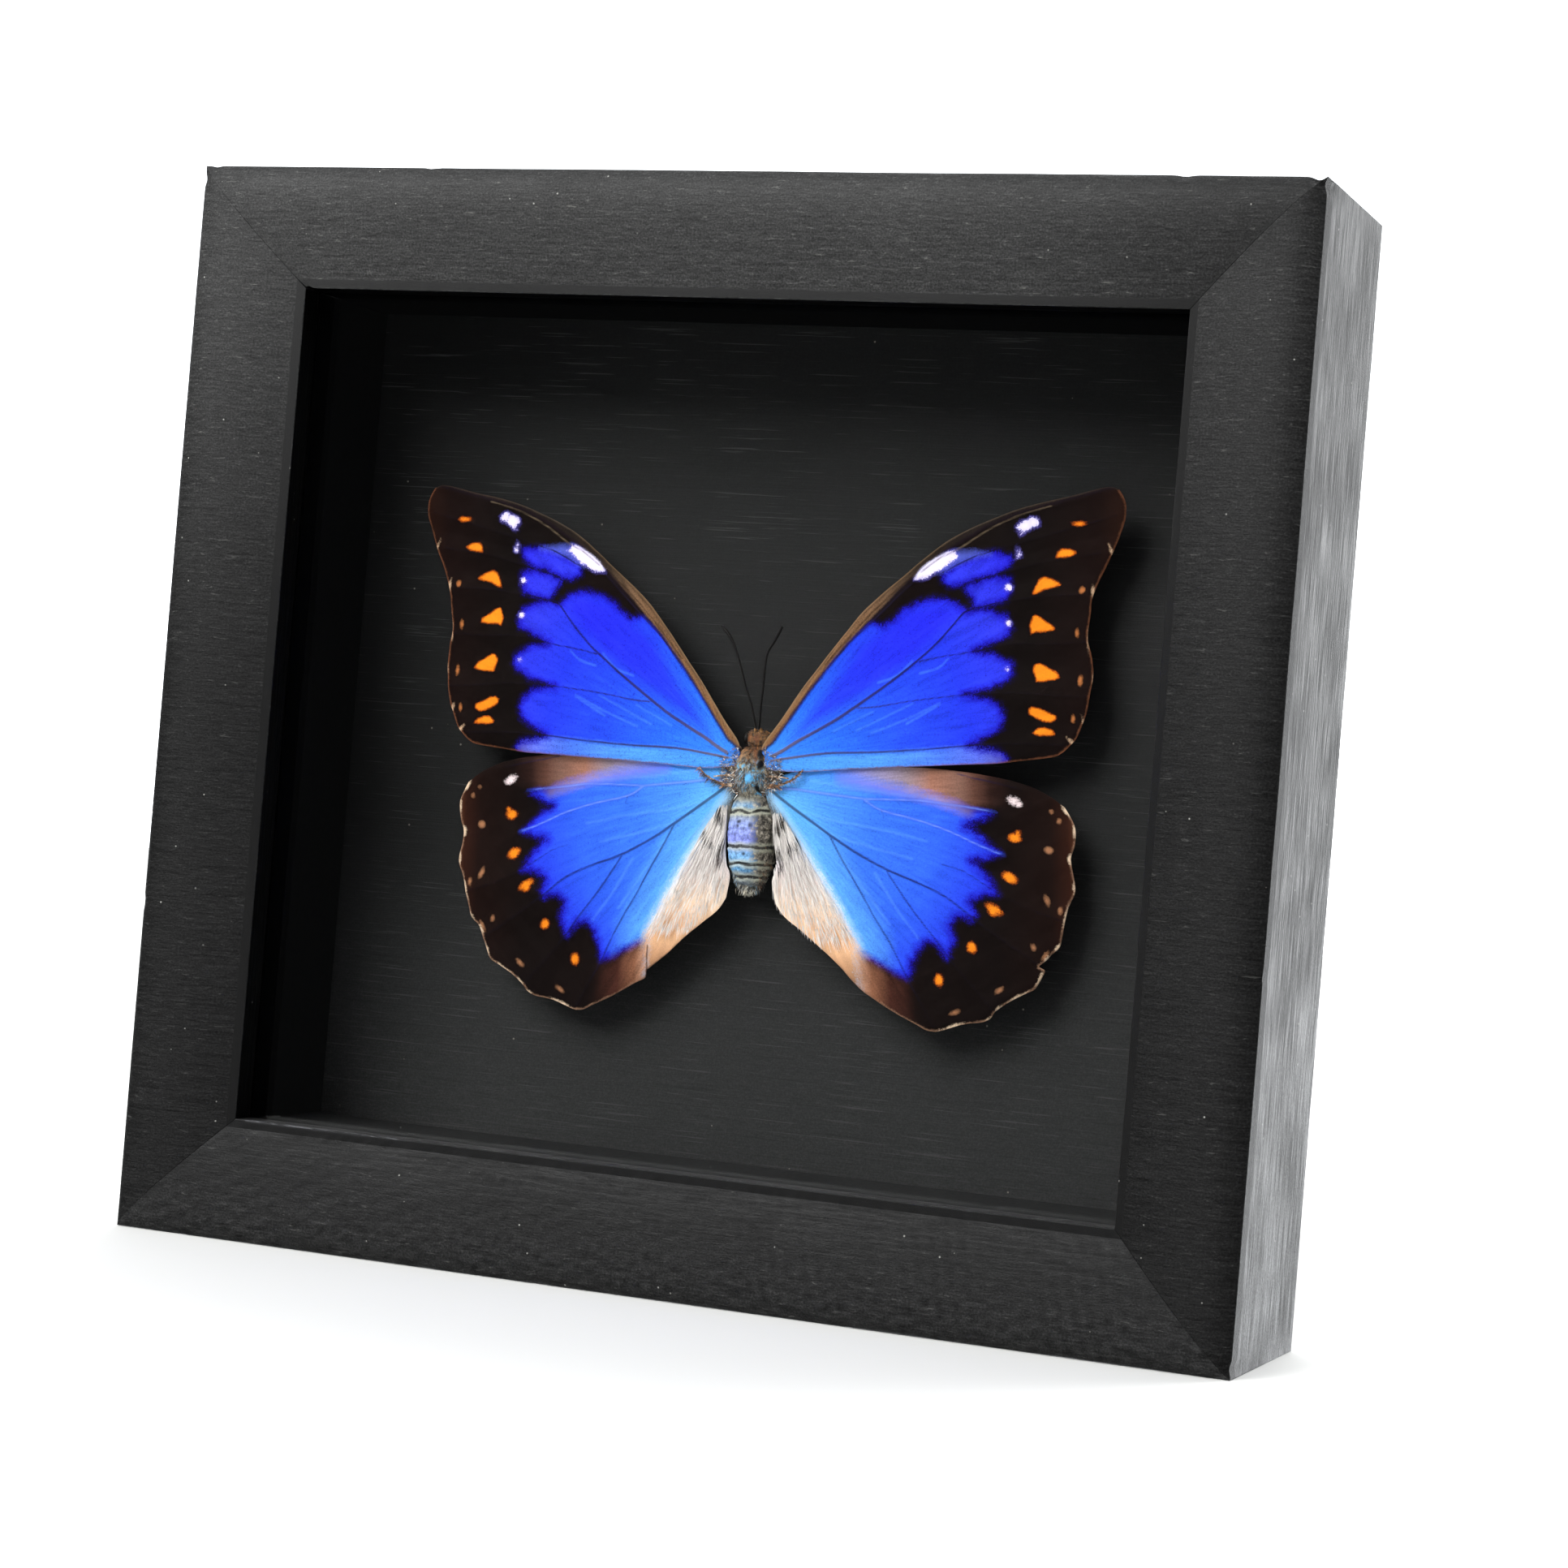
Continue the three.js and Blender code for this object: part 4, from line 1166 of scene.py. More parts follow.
RAILS = {  # turn about the depth axis, and the outer side's place as a share of the width and height
    "rail_top": (0, 0.0, 1.0),
    "rail_bottom": (180, 0.0, 0.0),
    "rail_left": (90, -0.5, 0.5),
    "rail_right": (-90, 0.5, 0.5),
}
# Dents: rail, distance along it from its middle, distance in from the outer side, radius and depth.
DENTS = [
    ("rail_top", 108.4, 0.6, 1.1, 0.8),
    ("rail_top", -107.6, 0.8, 0.9, 0.5),
    ("rail_top", 85, 0.2, 1.2, 0.25),
    ("rail_top", -61, 0.3, 1.0, 0.2),
    ("rail_top", -86.6, 22.6, 0.9, 0.5),
    ("rail_bottom", -108.2, 1.2, 1.2, 0.6),
    ("rail_bottom", 96, 0.3, 1.1, 0.3),
    ("rail_bottom", 20, 0.2, 1.4, 0.25),
    ("rail_right", 100.6, 0.5, 1.0, 0.5),
    ("rail_right", -101, 0.4, 1.1, 0.6),
    ("rail_right", 34, 0.2, 0.9, 0.2),
    ("rail_left", 99.8, 0.6, 1.0, 0.4),
    ("rail_left", -40, 0.2, 0.9, 0.2),
    ("rail_bottom", -60, 22.7, 1.3, 0.2),
    ("rail_bottom", 40, 22.6, 1.2, 0.25),
]

# The rails' face, in a section whose depth 0 lies PEAK behind the foremost line of the frame.
CROWN = 5.0  # height that the face's curve is drawn for
PEAK = CROWN * 0.9875  # height that it reaches
OUTER_EDGE = -2.5  # depth at which the face starts from the outer side
LIP_EDGE = -0.5  # depth at which it ends at the opening
CLEARANCE = 0.3  # between pieces that lie against each other
MITRE_GAP = 0.04  # from each rail's end to the mitre
SKIN = 0.06  # how far the wood stays within the CAD rails, so that its unevenness doesn't pass them
RAIL_STATIONS = 200


def rail_section(face, lip_back, rebate, depth, ease):
    """Closed section of a rail as (distance in from the outer side, depth), with eased corners."""
    t = np.linspace(0, 1, 25)[:, None]
    pull = -CROWN * 1.25
    a, b, c, d = (np.array(p) for p in (
        (0, OUTER_EDGE), (face * 0.1, pull * 0.86), (face * 0.41, pull), (face, LIP_EDGE)))
    dome = (1 - t) ** 3 * a + 3 * (1 - t) ** 2 * t * b + 3 * (1 - t) * t**2 * c + t**3 * d
    dome[:, 1] *= np.interp(t[:, 0], (0, 0.3, 1), (1, -PEAK / dome[:, 1].min(), 1))
    corners = [
        dome[-1], (face, lip_back), (face - rebate, lip_back), (face - rebate, depth), (0, depth),
        dome[0],
    ]
    outline = [tuple(p) for p in dome[1:-1]]
    for k, corner in enumerate(corners):
        before = dome[-2] if k == 0 else corners[k - 1]
        after = dome[1] if k == len(corners) - 1 else corners[k + 1]
        corner, before, after = (np.array(p, float) for p in (corner, before, after))
        reach_in = min(ease, np.linalg.norm(before - corner) * 0.45)
        reach_out = min(ease, np.linalg.norm(after - corner) * 0.45)
        start = corner + (before - corner) / np.linalg.norm(before - corner) * reach_in
        end = corner + (after - corner) / np.linalg.norm(after - corner) * reach_out
        for s in (0.0, 0.35, 0.65, 1.0):
            point = (1 - s) ** 2 * start + 2 * (1 - s) * s * corner + s**2 * end
            outline.append(tuple(point))
        if k < len(corners) - 1:
            steps = max(1, int(np.linalg.norm(after - corner) / 3.5))
            for s in np.linspace(0, 1, steps + 1)[1:-1]:
                outline.append(tuple(corner + (after - corner) * s))
    return np.array(outline)


def paint_tone_light_and_wear(name, world, u, d, on_face, seed):
    """How light a rail's paint is at each point, and how far it has come off. The lightness is the
    paint's own tone with painted light and shade: lighter towards the top of the frame, at the top
    rail's left end and on the bottom rail's outer slope; darker towards the top rail's right end and
    on its outer edge and top face; near black on the other rails' lips; shaded across the right rail's
    face; and a painted reflection that makes the right rail's side much lighter towards the bottom.
    u is the distance in from the outer side, and d the depth."""
    inner = u.max()
    height = world[:, 2]
    # Painted light: lighter towards the top of the frame, less so towards the right, and at the top
    # rail's left end.
    shaded_right_end = np.clip((world[:, 0] - 45) / 55, 0, 1) ** 1.5
    tone_and_painted_light = 0.72 + 1.45 * np.clip((height - 95) / 90, 0, 1) ** 1.5 * (1 - 0.6 * shaded_right_end)
    tone_and_painted_light = tone_and_painted_light * np.interp(world[:, 0], [-90, -60], [1.12, 1]) if name == "rail_top" else tone_and_painted_light
    side, lip = (u < 0.2) & (d > -2.4), (u > inner - 0.1) & (d > -0.4)
    wear = 0 * u
    # Painted shade: the other rails' lips are made near black.
    if name != "rail_bottom":
        tone_and_painted_light = np.where(lip, 0.1, tone_and_painted_light)
    # Painted shade on the top rail's top face and outer edge, and darker towards its right end.
    if name == "rail_top":
        tone_and_painted_light = tone_and_painted_light * np.where(side, 0.2, 1) * np.interp(u, [0, 1, 5], [0.66, 0.82, 0.97])
        tone_and_painted_light = tone_and_painted_light * np.interp(world[:, 0], [35, 105], [1, 0.85])
    # Painted shade across the right rail's face, and a painted reflection that lightens its side
    # towards the bottom.
    if name == "rail_right":
        shade = np.interp(u, [0, 8, 17, 23], [0.9, 0.97, 0.95, 0.8])
        tone_and_painted_light = tone_and_painted_light * np.where(side, np.interp(height, [0, 40, 90, 205], [6, 4.5, 0.6, 1.0]), shade)
    if name == "rail_bottom":
        mottle = np.where(on_face, 0.28 * ripple(world[:, [0, 2]], 2.2, seed + 5), 0)
        # Painted light on the bottom rail's outer slope.
        tone_and_painted_light = tone_and_painted_light * (0.9 + 1.5 * np.clip(1 - u / 13, 0, 1)) * (1 + mottle)
        tone_and_painted_light = np.where(lip, tone_and_painted_light * 1.1, tone_and_painted_light)
        wear = np.interp(world[:, 0], [-90, -84, -52, -40, 20, 80], [0, 1, 0.9, 0.35, 0.3, 0])
        wear = wear * np.exp(-(((inner - u) / 0.9) ** 2)) * (d < 0.5)
    return tone_and_painted_light, wear


def build_rail(name, section, length, turn, x, z, front, material, seed):
    """One rail, mitred at both ends, with a hand-finished face and a few dents."""
    even = np.linspace(-1, 1, RAIL_STATIONS)
    station = 0.5 * even + 0.5 * np.sin(even * math.pi / 2)
    around = np.r_[0, np.cumsum(np.linalg.norm(np.diff(section, axis=0), axis=1))]
    inset, depth = section[:, 0], section[:, 1]
    half = length / 2 - inset - MITRE_GAP
    along = station[:, None] * half[None]
    place = np.stack([along, np.broadcast_to(around, along.shape)], axis=-1).reshape(-1, 2)
    tangent = np.roll(section, -1, axis=0) - np.roll(section, 1, axis=0)
    outward = np.stack([-tangent[:, 1], tangent[:, 0]], axis=1)
    outward /= np.linalg.norm(outward, axis=1, keepdims=True)
    centre = section.mean(axis=0)
    outward *= np.sign(((section - centre) * outward).sum() / len(section))
    lift = -SKIN + 0.02 * ripple(place, 30, seed) + 0.008 * ripple(place, 7, seed + 1)
    at_edge = np.exp(-((place[:, 1] - around[0]) / 1.2) ** 2)
    rough = np.abs(ripple(place * (0.5, 1), 1.6, seed + 2)) * at_edge
    lift = lift - 0.02 * rough
    u = np.broadcast_to(inset, along.shape).ravel()
    d = np.broadcast_to(depth, along.shape).ravel()
    for rail, at, dent_inset, radius, deep in DENTS:
        if rail == name:
            near = np.hypot(np.hypot(along.ravel() - at, u - dent_inset), np.clip(d - 1.5, 0, None))
            lift = lift - deep * np.exp(-((near / radius) ** 2))
    push = np.broadcast_to(outward, (*along.shape, 2)).reshape(-1, 2) * lift[:, None]
    points = np.c_[along.ravel(), d + push[:, 1], -(u + push[:, 0])]
    faces = grid_faces(RAIL_STATIONS, len(section), close_columns=True).tolist()
    ring = list(range(len(section)))
    faces += [ring[::-1], [i + (RAIL_STATIONS - 1) * len(section) for i in ring]]
    angle = math.radians(turn)
    turned = np.c_[
        points[:, 0] * math.cos(angle) - points[:, 2] * math.sin(angle),
        points[:, 1],
        points[:, 0] * math.sin(angle) + points[:, 2] * math.cos(angle),
    ]
    world = turned + (x, 0, z)
    on_face = (d < -0.3) & (u < section[:, 0].max() - 0.3)
    # The last brush strokes ran level over the front, and along the rails elsewhere.
    grain = np.where(
        on_face[:, None], np.c_[world[:, [0, 2]], 0 * u],
        np.c_[place + 300, np.full(len(place), seed * 37.0)])
    tone_and_painted_light, wear = paint_tone_light_and_wear(name, world, u, d, on_face, seed)
    a, b, c = (turned[faces[0][k]] for k in range(3))
    middle = turned[:len(section)].mean(axis=0)
    if np.cross(b - a, c - a) @ (a - middle) < 0:
        faces = [f[::-1] for f in faces]
    return piece(name + "_wood", turned + (x, front, z), faces, material, (name,),
                 {"grain": grain, "tone_and_painted_light": tone_and_painted_light, "wear": wear}, sharp=30)


NAIL_SIDES = 40
BOARD_ROWS = 320
BOARD_COLUMNS = 40


class FrameSettings(bpy.types.PropertyGroup):
    arris: bpy.props.FloatProperty(
        name="Arris", description="How far the rails' corners are eased", default=0.25 * MM,
        unit="LENGTH")
    rib_height: bpy.props.FloatProperty(
        name="Rib height", description="Height of the backing board's ribs", default=0.012 * MM,
        unit="LENGTH")
    edge_ease: bpy.props.FloatProperty(
        name="Edge ease", description="Rounding of the cut boards' edges", default=0.25 * MM,
        unit="LENGTH")


class SpecimenSettings(bpy.types.PropertyGroup):
    wing_thickness: bpy.props.FloatProperty(
        name="Wing thickness", description="Thickness of a wing", default=0.1 * MM, unit="LENGTH")
    vein_height: bpy.props.FloatProperty(
        name="Vein height", description="How far a vein stands above the wing", default=0.16 * MM,
        unit="LENGTH")
    hair_length: bpy.props.FloatProperty(
        name="Hair length", description="Length of the hair on the thorax", default=1.3 * MM,
        unit="LENGTH")
    orange: bpy.props.FloatVectorProperty(
        name="Orange", description="Colour of the spots", default=srgb("#f2881c")[:3], subtype="COLOR")


class StageSettings(bpy.types.PropertyGroup):
    key_power: bpy.props.FloatProperty(
        name="Key power", description="Power of the large soft light", default=37.0, unit="POWER")
    floor_colour: bpy.props.FloatVectorProperty(
        name="Floor colour", description="Colour of the floor", default=srgb("#e6e6e4")[:3],
        subtype="COLOR")


class SPECIMEN_OT_rails(bpy.types.Operator):
    """Builds the four rails of the frame"""

    bl_idname = "specimen.rails"
    bl_label = "Rails"

    def execute(self, context):
        settings = context.scene.butterfly_frame
        low, high = (corner / MM for corner in cad_bounds)
        left = [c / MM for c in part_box("rail_left")]
        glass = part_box("glass_pane")[0].y / MM
        rebate = left[1].x - (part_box("glass_pane")[0].x / MM)
        width, height = high.x - low.x, high.z - low.z
        front = low.y + PEAK
        section = rail_section(
            left[1].x - left[0].x, glass - front - CLEARANCE, rebate + CLEARANCE, high.y - front,
            settings.arris / MM)
        material = painted_wood()
        for seed, (name, (turn, across, up)) in enumerate(RAILS.items()):
            length = height if abs(turn) == 90 else width
            build_rail(
                name, section, length, turn, across * width, up * height, front, material, seed * 5 + 3)
        return {"FINISHED"}


class SPECIMEN_OT_case(bpy.types.Operator):
    """Finishes the glass, the strips, the boards and the fixings on the back"""

    bl_idname = "specimen.case"
    bl_label = "Case"

    def execute(self, context):
        settings = context.scene.butterfly_frame
        pane = finish_node("glass_pane", float_glass())
        pane.visible_shadow = False
        pane.visible_diffuse = False
        ease = settings.edge_ease / MM
        # The top, left and right strips are near black, as painted shade on the case's inner walls; the
        # bottom strip is greyer, with dust.
        card = black_foam_card("#020202", "#070708")
        dusty = black_foam_card("#1e1e1e", "#272727")
        for side in ("top", "bottom", "left", "right"):
            finish_node("spacer_" + side, dusty if side == "bottom" else card, ease)
        finish_node("back_panel", hardboard(), ease)
        plate = zinc_plate()
        for name in [n for n in NODES if n.startswith("point_")] + ["hanger"]:
            finish_node(name, plate, 0.12)
        self.build_nails(plate)
        self.build_board(settings)
        return {"FINISHED"}

    def build_nails(self, plate):
        """Domed nail heads, turned finely."""
        angle = np.linspace(0, 2 * math.pi, NAIL_SIDES, endpoint=False)
        rim_height = 0.08
        for side in ("left", "right"):
            low, high = (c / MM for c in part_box("hanger_nail_" + side))
            radius, middle = (high.x - low.x) / 2, (low + high) / 2
            t = np.linspace(0, math.pi / 2, 9)
            shank, seat = radius * 0.35, low.y + 1.1
            rim = [(shank, low.y), (shank, seat), (radius * 0.9, seat), (radius, seat + rim_height)]
            crown = high.y - seat - rim_height
            dome = [
                (radius * math.cos(a), seat + rim_height + crown * math.sin(a)) for a in t[1:-1]]
            rings = [
                np.c_[middle.x + r * np.cos(angle), np.full(NAIL_SIDES, y),
                      middle.z + r * np.sin(angle)] for r, y in rim + dome]
            points, faces = closed(
                rings, (middle.x, low.y, middle.z), (middle.x, high.y, middle.z))
            piece(f"nail_{side}", points, faces, plate, ("hanger_nail_" + side,), sharp=35)

    def build_board(self, settings):
        """The backing board with its ribbed face."""
        low, high = (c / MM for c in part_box("backing_board"))
        x = np.linspace(low.x, high.x, BOARD_COLUMNS)
        z = np.linspace(low.z, high.z, BOARD_ROWS)
        gx, gz = np.meshgrid(x, z, indexing="ij")
        place = np.c_[gx.ravel(), gz.ravel()]
        rib = ripple(place * (0.05, 1), 0.9, 41) + 0.5 * ripple(place * (0.02, 1), 2.4, 42)
        depth = low.y + settings.rib_height / MM * (1.2 - np.clip(rib, -1.2, 1.2))
        grid = np.stack([gx, gz], axis=-1)
        points, faces = sheet(grid, depth, high.y - low.y - 0.1)
        piece("ribbed_board", points, faces, laid_card(), ("backing_board",), sharp=40)


class SPECIMEN_OT_wings(bpy.types.Operator):
    """Builds the four wings with their veins, pleats and marks"""

    bl_idname = "specimen.wings"
    bl_label = "Wings"

    def execute(self, context):
        settings = context.scene.butterfly_specimen
        materials = {"forewing": forewing_scales(settings), "hindwing": hindwing_scales(settings)}
        for kind, spec in WING_KINDS.items():
            for side, word in ((-1, "left"), (1, "right")):
                edges = spec["edges"] | TORN.get((kind, word), {})
                grid = wing_grid(edges, *spec["grid"])
                plan = grid.reshape(-1, 2)
                marks = spec["marks"](plan, edges)
                if kind == "hindwing" and side > 0:
                    marks["tear"] = np.full(len(plan), -1.0)
                self.build_wing(
                    kind, side, word, grid, plan, marks, spec["root"], materials[kind], settings)
        return {"FINISHED"}

    def build_wing(self, kind, side, word, grid, plan, marks, root, material, settings):
        """One wing, laid in its place from the plan of its kind."""
        seed = {"forewing": 11, "hindwing": 31}[kind] + side
        height = wing_height(plan, marks, settings.vein_height / MM, seed)
        laid = as_dried(kind, side, plan)
        node = f"{kind}_{word}"
        depth = middle_of(node).y - height
        points, faces = sheet(laid.reshape(grid.shape), depth, settings.wing_thickness / MM)
        arm = plan - root
        # Each wing's textures are drawn at a depth of their own.
        apart = np.full(len(plan), side * 50.0)
        turn = np.arctan2(arm[:, 1], arm[:, 0]) * 22
        rays = np.c_[turn, np.linalg.norm(arm, axis=1), apart]
        flat = np.c_[plan[:, 0], apart, plan[:, 1]]
        every = {key: np.tile(values, 2) for key, values in marks.items()}
        every["plan"] = np.vstack([flat, flat])
        every["rays"] = np.vstack([rays, rays])
        piece(f"{kind}_{word}_scales", in_case(points), faces, material, (node,), every)


ANTENNA_RINGS = 120
THORAX_HAIRS = 2600
ROOT_HAIRS = 700  # where the wings join the thorax, on each side
VEIN_HAIRS = 150  # along the curved vein behind, on each side
HEAD_HAIRS = 520
ABDOMEN_HAIRS = 2600
TIP_HAIRS = 260
FOLD_HAIRS = 1100
HAIR_RADIUS = 0.055
FOLD_HAIR_RADIUS = 0.06


def round_body(stations, middle_x, middle_y, around=48):
    """A closed body from stations of (z, half width, half depth, y offset)."""
    stations = smooth(stations, 4)
    angle = np.linspace(0, 2 * math.pi, around, endpoint=False)
    rings = [
        np.c_[middle_x + w * np.cos(angle), middle_y + lift + d * np.sin(angle), np.full(around, z)]
        for z, w, d, lift in stations]
    points, faces = closed(rings, rings[0].mean(axis=0), rings[-1].mean(axis=0))
    a, b, c = (points[faces[len(faces) // 3][k]] for k in range(3))
    if np.cross(b - a, c - a) @ (a - (middle_x, middle_y, a[2])) < 0:
        faces = [tuple(f)[::-1] for f in faces]
    return points, faces


class SPECIMEN_OT_body(bpy.types.Operator):
    """Builds the head, thorax, abdomen and antennae, with their hair"""

    bl_idname = "specimen.body"
    bl_label = "Body"

    def execute(self, context):
        self.hair_length = context.scene.butterfly_specimen.hair_length / MM
        self.hair = body_hair()
        self.scaled = body_scales()
        self.cuticle = dark_cuticle()
        self.middle_y = middle_of("thorax").y
        self.build_thorax()
        self.build_head()
        self.build_abdomen()
        self.build_antennae()
        return {"FINISHED"}

    def build_thorax(self):
        """The thorax with the lumps at the wing roots."""
        rng = np.random.default_rng(71)
        stations = [(4.7, 1.3, 2.2, 0.2), (3.9, 3.0, 3.6, 0.1), (2.2, 3.8, 4.6, 0), (0.2, 3.8, 5.0, 0),
                    (-2, 3.6, 4.9, 0.1), (-3.8, 3.1, 4.3, 0.3), (-5.2, 2.5, 3.4, 0.4)]
        points, faces = round_body(stations, BODY_X, self.middle_y)
        offset = points - (BODY_X, self.middle_y, 0)
        groove = 0.25 * np.exp(-((offset[:, 0] / 0.35) ** 2)) * (offset[:, 1] < 0)
        swell = 1 + 0.05 * ripple(points, 2.4, 72) + 0.03 * ripple(points, 1.0, 73)
        points = (BODY_X, self.middle_y, 0) + offset * np.c_[swell, swell, np.ones(len(swell))]
        points[:, 1] += groove
        lumps = [(3.4, -1.6, 3.3, 1.0, 1.5), (4.0, -1.8, 1.4, 0.9, 0.9), (3.6, -1.6, -0.4, 0.9, 0.8),
                 (4.2, -1.4, -1.8, 0.8, 0.7), (3.2, -1.2, -3.2, 0.9, 0.9)]
        knobs = []
        for side in (-1, 1):
            for x, y, z, wide, tall in lumps:
                rise = [(z + tall * s, wide * c, wide * 0.8 * c, 0) for s, c in
                        ((-1, 0.05), (-0.8, 0.6), (-0.3, 0.95), (0.3, 0.95), (0.8, 0.6), (1, 0.05))]
                lump, lump_faces = round_body(rise, BODY_X * 0.5 + side * x, self.middle_y + y, 16)
                lump += 0.1 * rng.normal(size=lump.shape)
                knobs.append((lump, lump_faces))
            struts = [[(2.8, 4.4), (4.6, 3.4), (6.6, 4.6)], [(3.0, 2.4), (4.8, 2.6), (7.4, 3.6)],
                      [(3.0, 0.6), (5.2, 1.0), (7.6, 2.4)], [(3.0, -1.0), (5.0, -0.9), (7.6, -1.2)],
                      [(2.8, -2.6), (4.6, -2.6), (6.4, -3.4)]]
            for route in struts:
                route = [(side * x, z) for x, z in route]
                knobs.append(self.strut(route, self.middle_y - 2.7, 0.3, 0.12))
            curl = [(10.4, 0.6), (10.1, -0.1), (8.7, -1.3), (6, -2.5), (3.6, -3.0)]
            route = [(side * x, z) for x, z in curl]
            knobs.append(self.strut(route, self.middle_y - 2.9, 0.1, 0.3))
        self.place("wing_roots", *joined(knobs), root_cuticle(), (), {})
        plan = points[:, [0, 2]]
        front = points[:, 1] < self.middle_y
        holes = [(-1.4, 0.1, 0.4, 0.4, 0), (2.0, 3.2, 0.5, 1.2, 15), (2.3, 1.2, 0.5, 1.0, -15),
                 (1.9, -3.4, 0.5, 0.9, 30), (-2.6, -3.9, 0.5, 0.7, -20), (-3.1, 1.0, 0.4, 1.0, 0)]
        marks = {
            "plan": points,
            "patch": to_spots(plan, [(0.35, -1.3, 0.8, 1.0, 0)]),
            "pin": np.where(front, to_spots(plan, holes), -1),
            "ridge": to_line(plan, smooth([(-3.2, 1.2), (-2.6, 3.2), (-1.4, 4.9)], 4), 0.2, 0.2),
            "ridge_red": to_line(plan, smooth([(0.4, 4.6), (1.2, 3.4), (1.6, 1.2)], 4), 0.35, 0.25),
        }
        self.place("thorax_scales", points, faces, self.scaled, ("thorax",), marks)

        count = THORAX_HAIRS
        pick = rng.uniform(-1, 1, size=(count, 2))
        z = -0.2 + 4.9 * pick[:, 0]
        angle = math.pi * 1.5 + 1.5 * pick[:, 1]
        wide = 3.7 * np.sqrt(np.clip(1 - (pick[:, 0] * 0.85) ** 2, 0.05, 1))
        deep = 4.9 * np.sqrt(np.clip(1 - (pick[:, 0] * 0.85) ** 2, 0.05, 1))
        roots = np.c_[BODY_X + wide * np.cos(angle), self.middle_y + deep * np.sin(angle), z]
        out = np.c_[np.cos(angle), np.sin(angle), 0.3 * pick[:, 0]]
        ways = out * 0.5 + (0, 0, -0.75) + 0.35 * rng.normal(size=(count, 3))
        bare = to_spots(roots[:, [0, 2]], holes + [(0.35, -1.3, 0.7, 0.9, 0)]) > -0.15
        keep = ~bare & (ripple(roots, 1.6, 78) > -0.35)
        tint = np.where(z > 1.6, rng.uniform(0.15, 0.45, count), rng.uniform(0.4, 0.9, count))
        tint = np.where(z < -3.2, rng.uniform(0.46, 0.72, count), tint)
        self.add_hair(
            "thorax_hair", roots[keep], ways[keep],
            self.hair_length * rng.uniform(0.35, 0.9, keep.sum()), tint[keep], 74)
        self.wing_root_hair(rng)

    def strut(self, route, depth, start, end):
        """A knobbly tube along a route of x and z. Its radius runs from start to end."""
        line = spaced(smooth(route, 6), 24)
        radius = np.linspace(start, end, len(line)) * (1 + 0.15 * np.cos(np.arange(len(line)) * 1.7))
        return tube(line, depth, radius, 8)

    def wing_root_hair(self, rng):
        """Tufts where the wings join the thorax, and along the curved veins behind them."""
        roots, ways, tint = [], [], []
        curl = smooth([(10.2, 0.2), (8.7, -1.3), (6, -2.5), (4.2, -2.8)], 8)
        for side in (-1, 1):
            count = VEIN_HAIRS
            along = curl[rng.integers(0, len(curl), count)] + 0.12 * rng.normal(size=(count, 2))
            roots.append(np.c_[side * along[:, 0], np.full(count, self.middle_y - 3.5), along[:, 1]])
            ways.append(np.c_[side * 0.6 * np.ones(count), -0.35 + 0.2 * rng.normal(size=count),
                              0.5 * rng.normal(size=count)])
            tint.append(rng.uniform(0.05, 0.45, count))
            count = ROOT_HAIRS
            out = rng.uniform(0, 1, count) ** 1.4
            roots.append(np.c_[side * (2.4 + 3.6 * out), self.middle_y - rng.uniform(2.2, 3.4, count),
                               rng.uniform(-1, 1, count) * (4.6 - 2.0 * out)])
            ways.append(np.c_[side * rng.uniform(0.2, 1, count), -0.35 * np.ones(count),
                              rng.normal(size=count) * 0.7])
            tint.append(rng.choice([0.1, 0.25, 0.45, 0.55, 0.68, 1.0], count) - 0.03)
        roots, ways, tint = np.vstack(roots), np.vstack(ways), np.concatenate(tint)
        self.add_hair("wing_root_hair", roots, ways, rng.uniform(0.4, 1.3, len(roots)), tint, 75)

    def build_head(self):
        """The head between its two eyes, with the palps in front."""
        rng = np.random.default_rng(81)
        y = self.middle_y
        skull = [(4.7, 1.6, 1.2, 0), (5.2, 2.4, 1.8, 0), (6.2, 2.8, 2.0, 0), (7.1, 2.4, 1.6, 0),
                 (7.9, 1.1, 0.7, 0)]
        parts = [round_body(skull, HEAD_X, y, 32)]
        for side in (-1, 1):
            palp = smooth([(6.4, 0.5, 0.5, -0.4), (7.2, 0.55, 0.55, -0.9), (7.9, 0.35, 0.4, -1.2),
                           (8.3, 0.1, 0.1, -1.3)])
            parts.append(round_body(palp, HEAD_X + side * 0.55, y, 14))
        points, faces = joined(parts)
        plan = points[:, [0, 2]]
        marks = {"plan": points, "patch": np.full(len(points), -1.0),
                 "pin": to_line(plan, [(-0.5, 4.8), (-0.3, 7.6)], 0.18, 0.12),
                 "ridge": to_line(plan, [(-2.0, 4.9), (-1.0, 5.2)], 0.15, 0.15),
                 "ridge_red": to_spots(plan, [(-1.3, 6.4, 0.6, 0.8, 0), (0.5, 6.2, 0.7, 0.9, 0)])}
        self.place("head_scales", points, faces, self.scaled, ("head",), marks)
        eyes = []
        for side in (-1, 1):
            ball = [(6.2 + 1.25 * math.sin(a), 0.85 * math.cos(a) + 0.02, 1.45 * math.cos(a) + 0.02, 0)
                    for a in np.linspace(-math.pi / 2, math.pi / 2, 9)]
            eyes.append(round_body(ball, HEAD_X + side * 2.4, y - 0.1, 28))
        self.place("eyes", *joined(eyes), self.cuticle, (), {}, "antenna")
        count = HEAD_HAIRS
        z = rng.uniform(4.6, 7.8, count)
        angle = math.pi * 1.5 + rng.uniform(-1.1, 1.1, count)
        size = np.sqrt(np.clip(1 - ((z - 6.2) / 2.0) ** 2, 0.05, 1))
        roots = np.c_[HEAD_X + 2.7 * size * np.cos(angle), y + 1.9 * size * np.sin(angle), z]
        ways = np.c_[np.cos(angle) * 0.5, np.sin(angle) * 0.5, (z - 6.2) * 0.4]
        ways = ways + 0.4 * rng.normal(size=(count, 3))
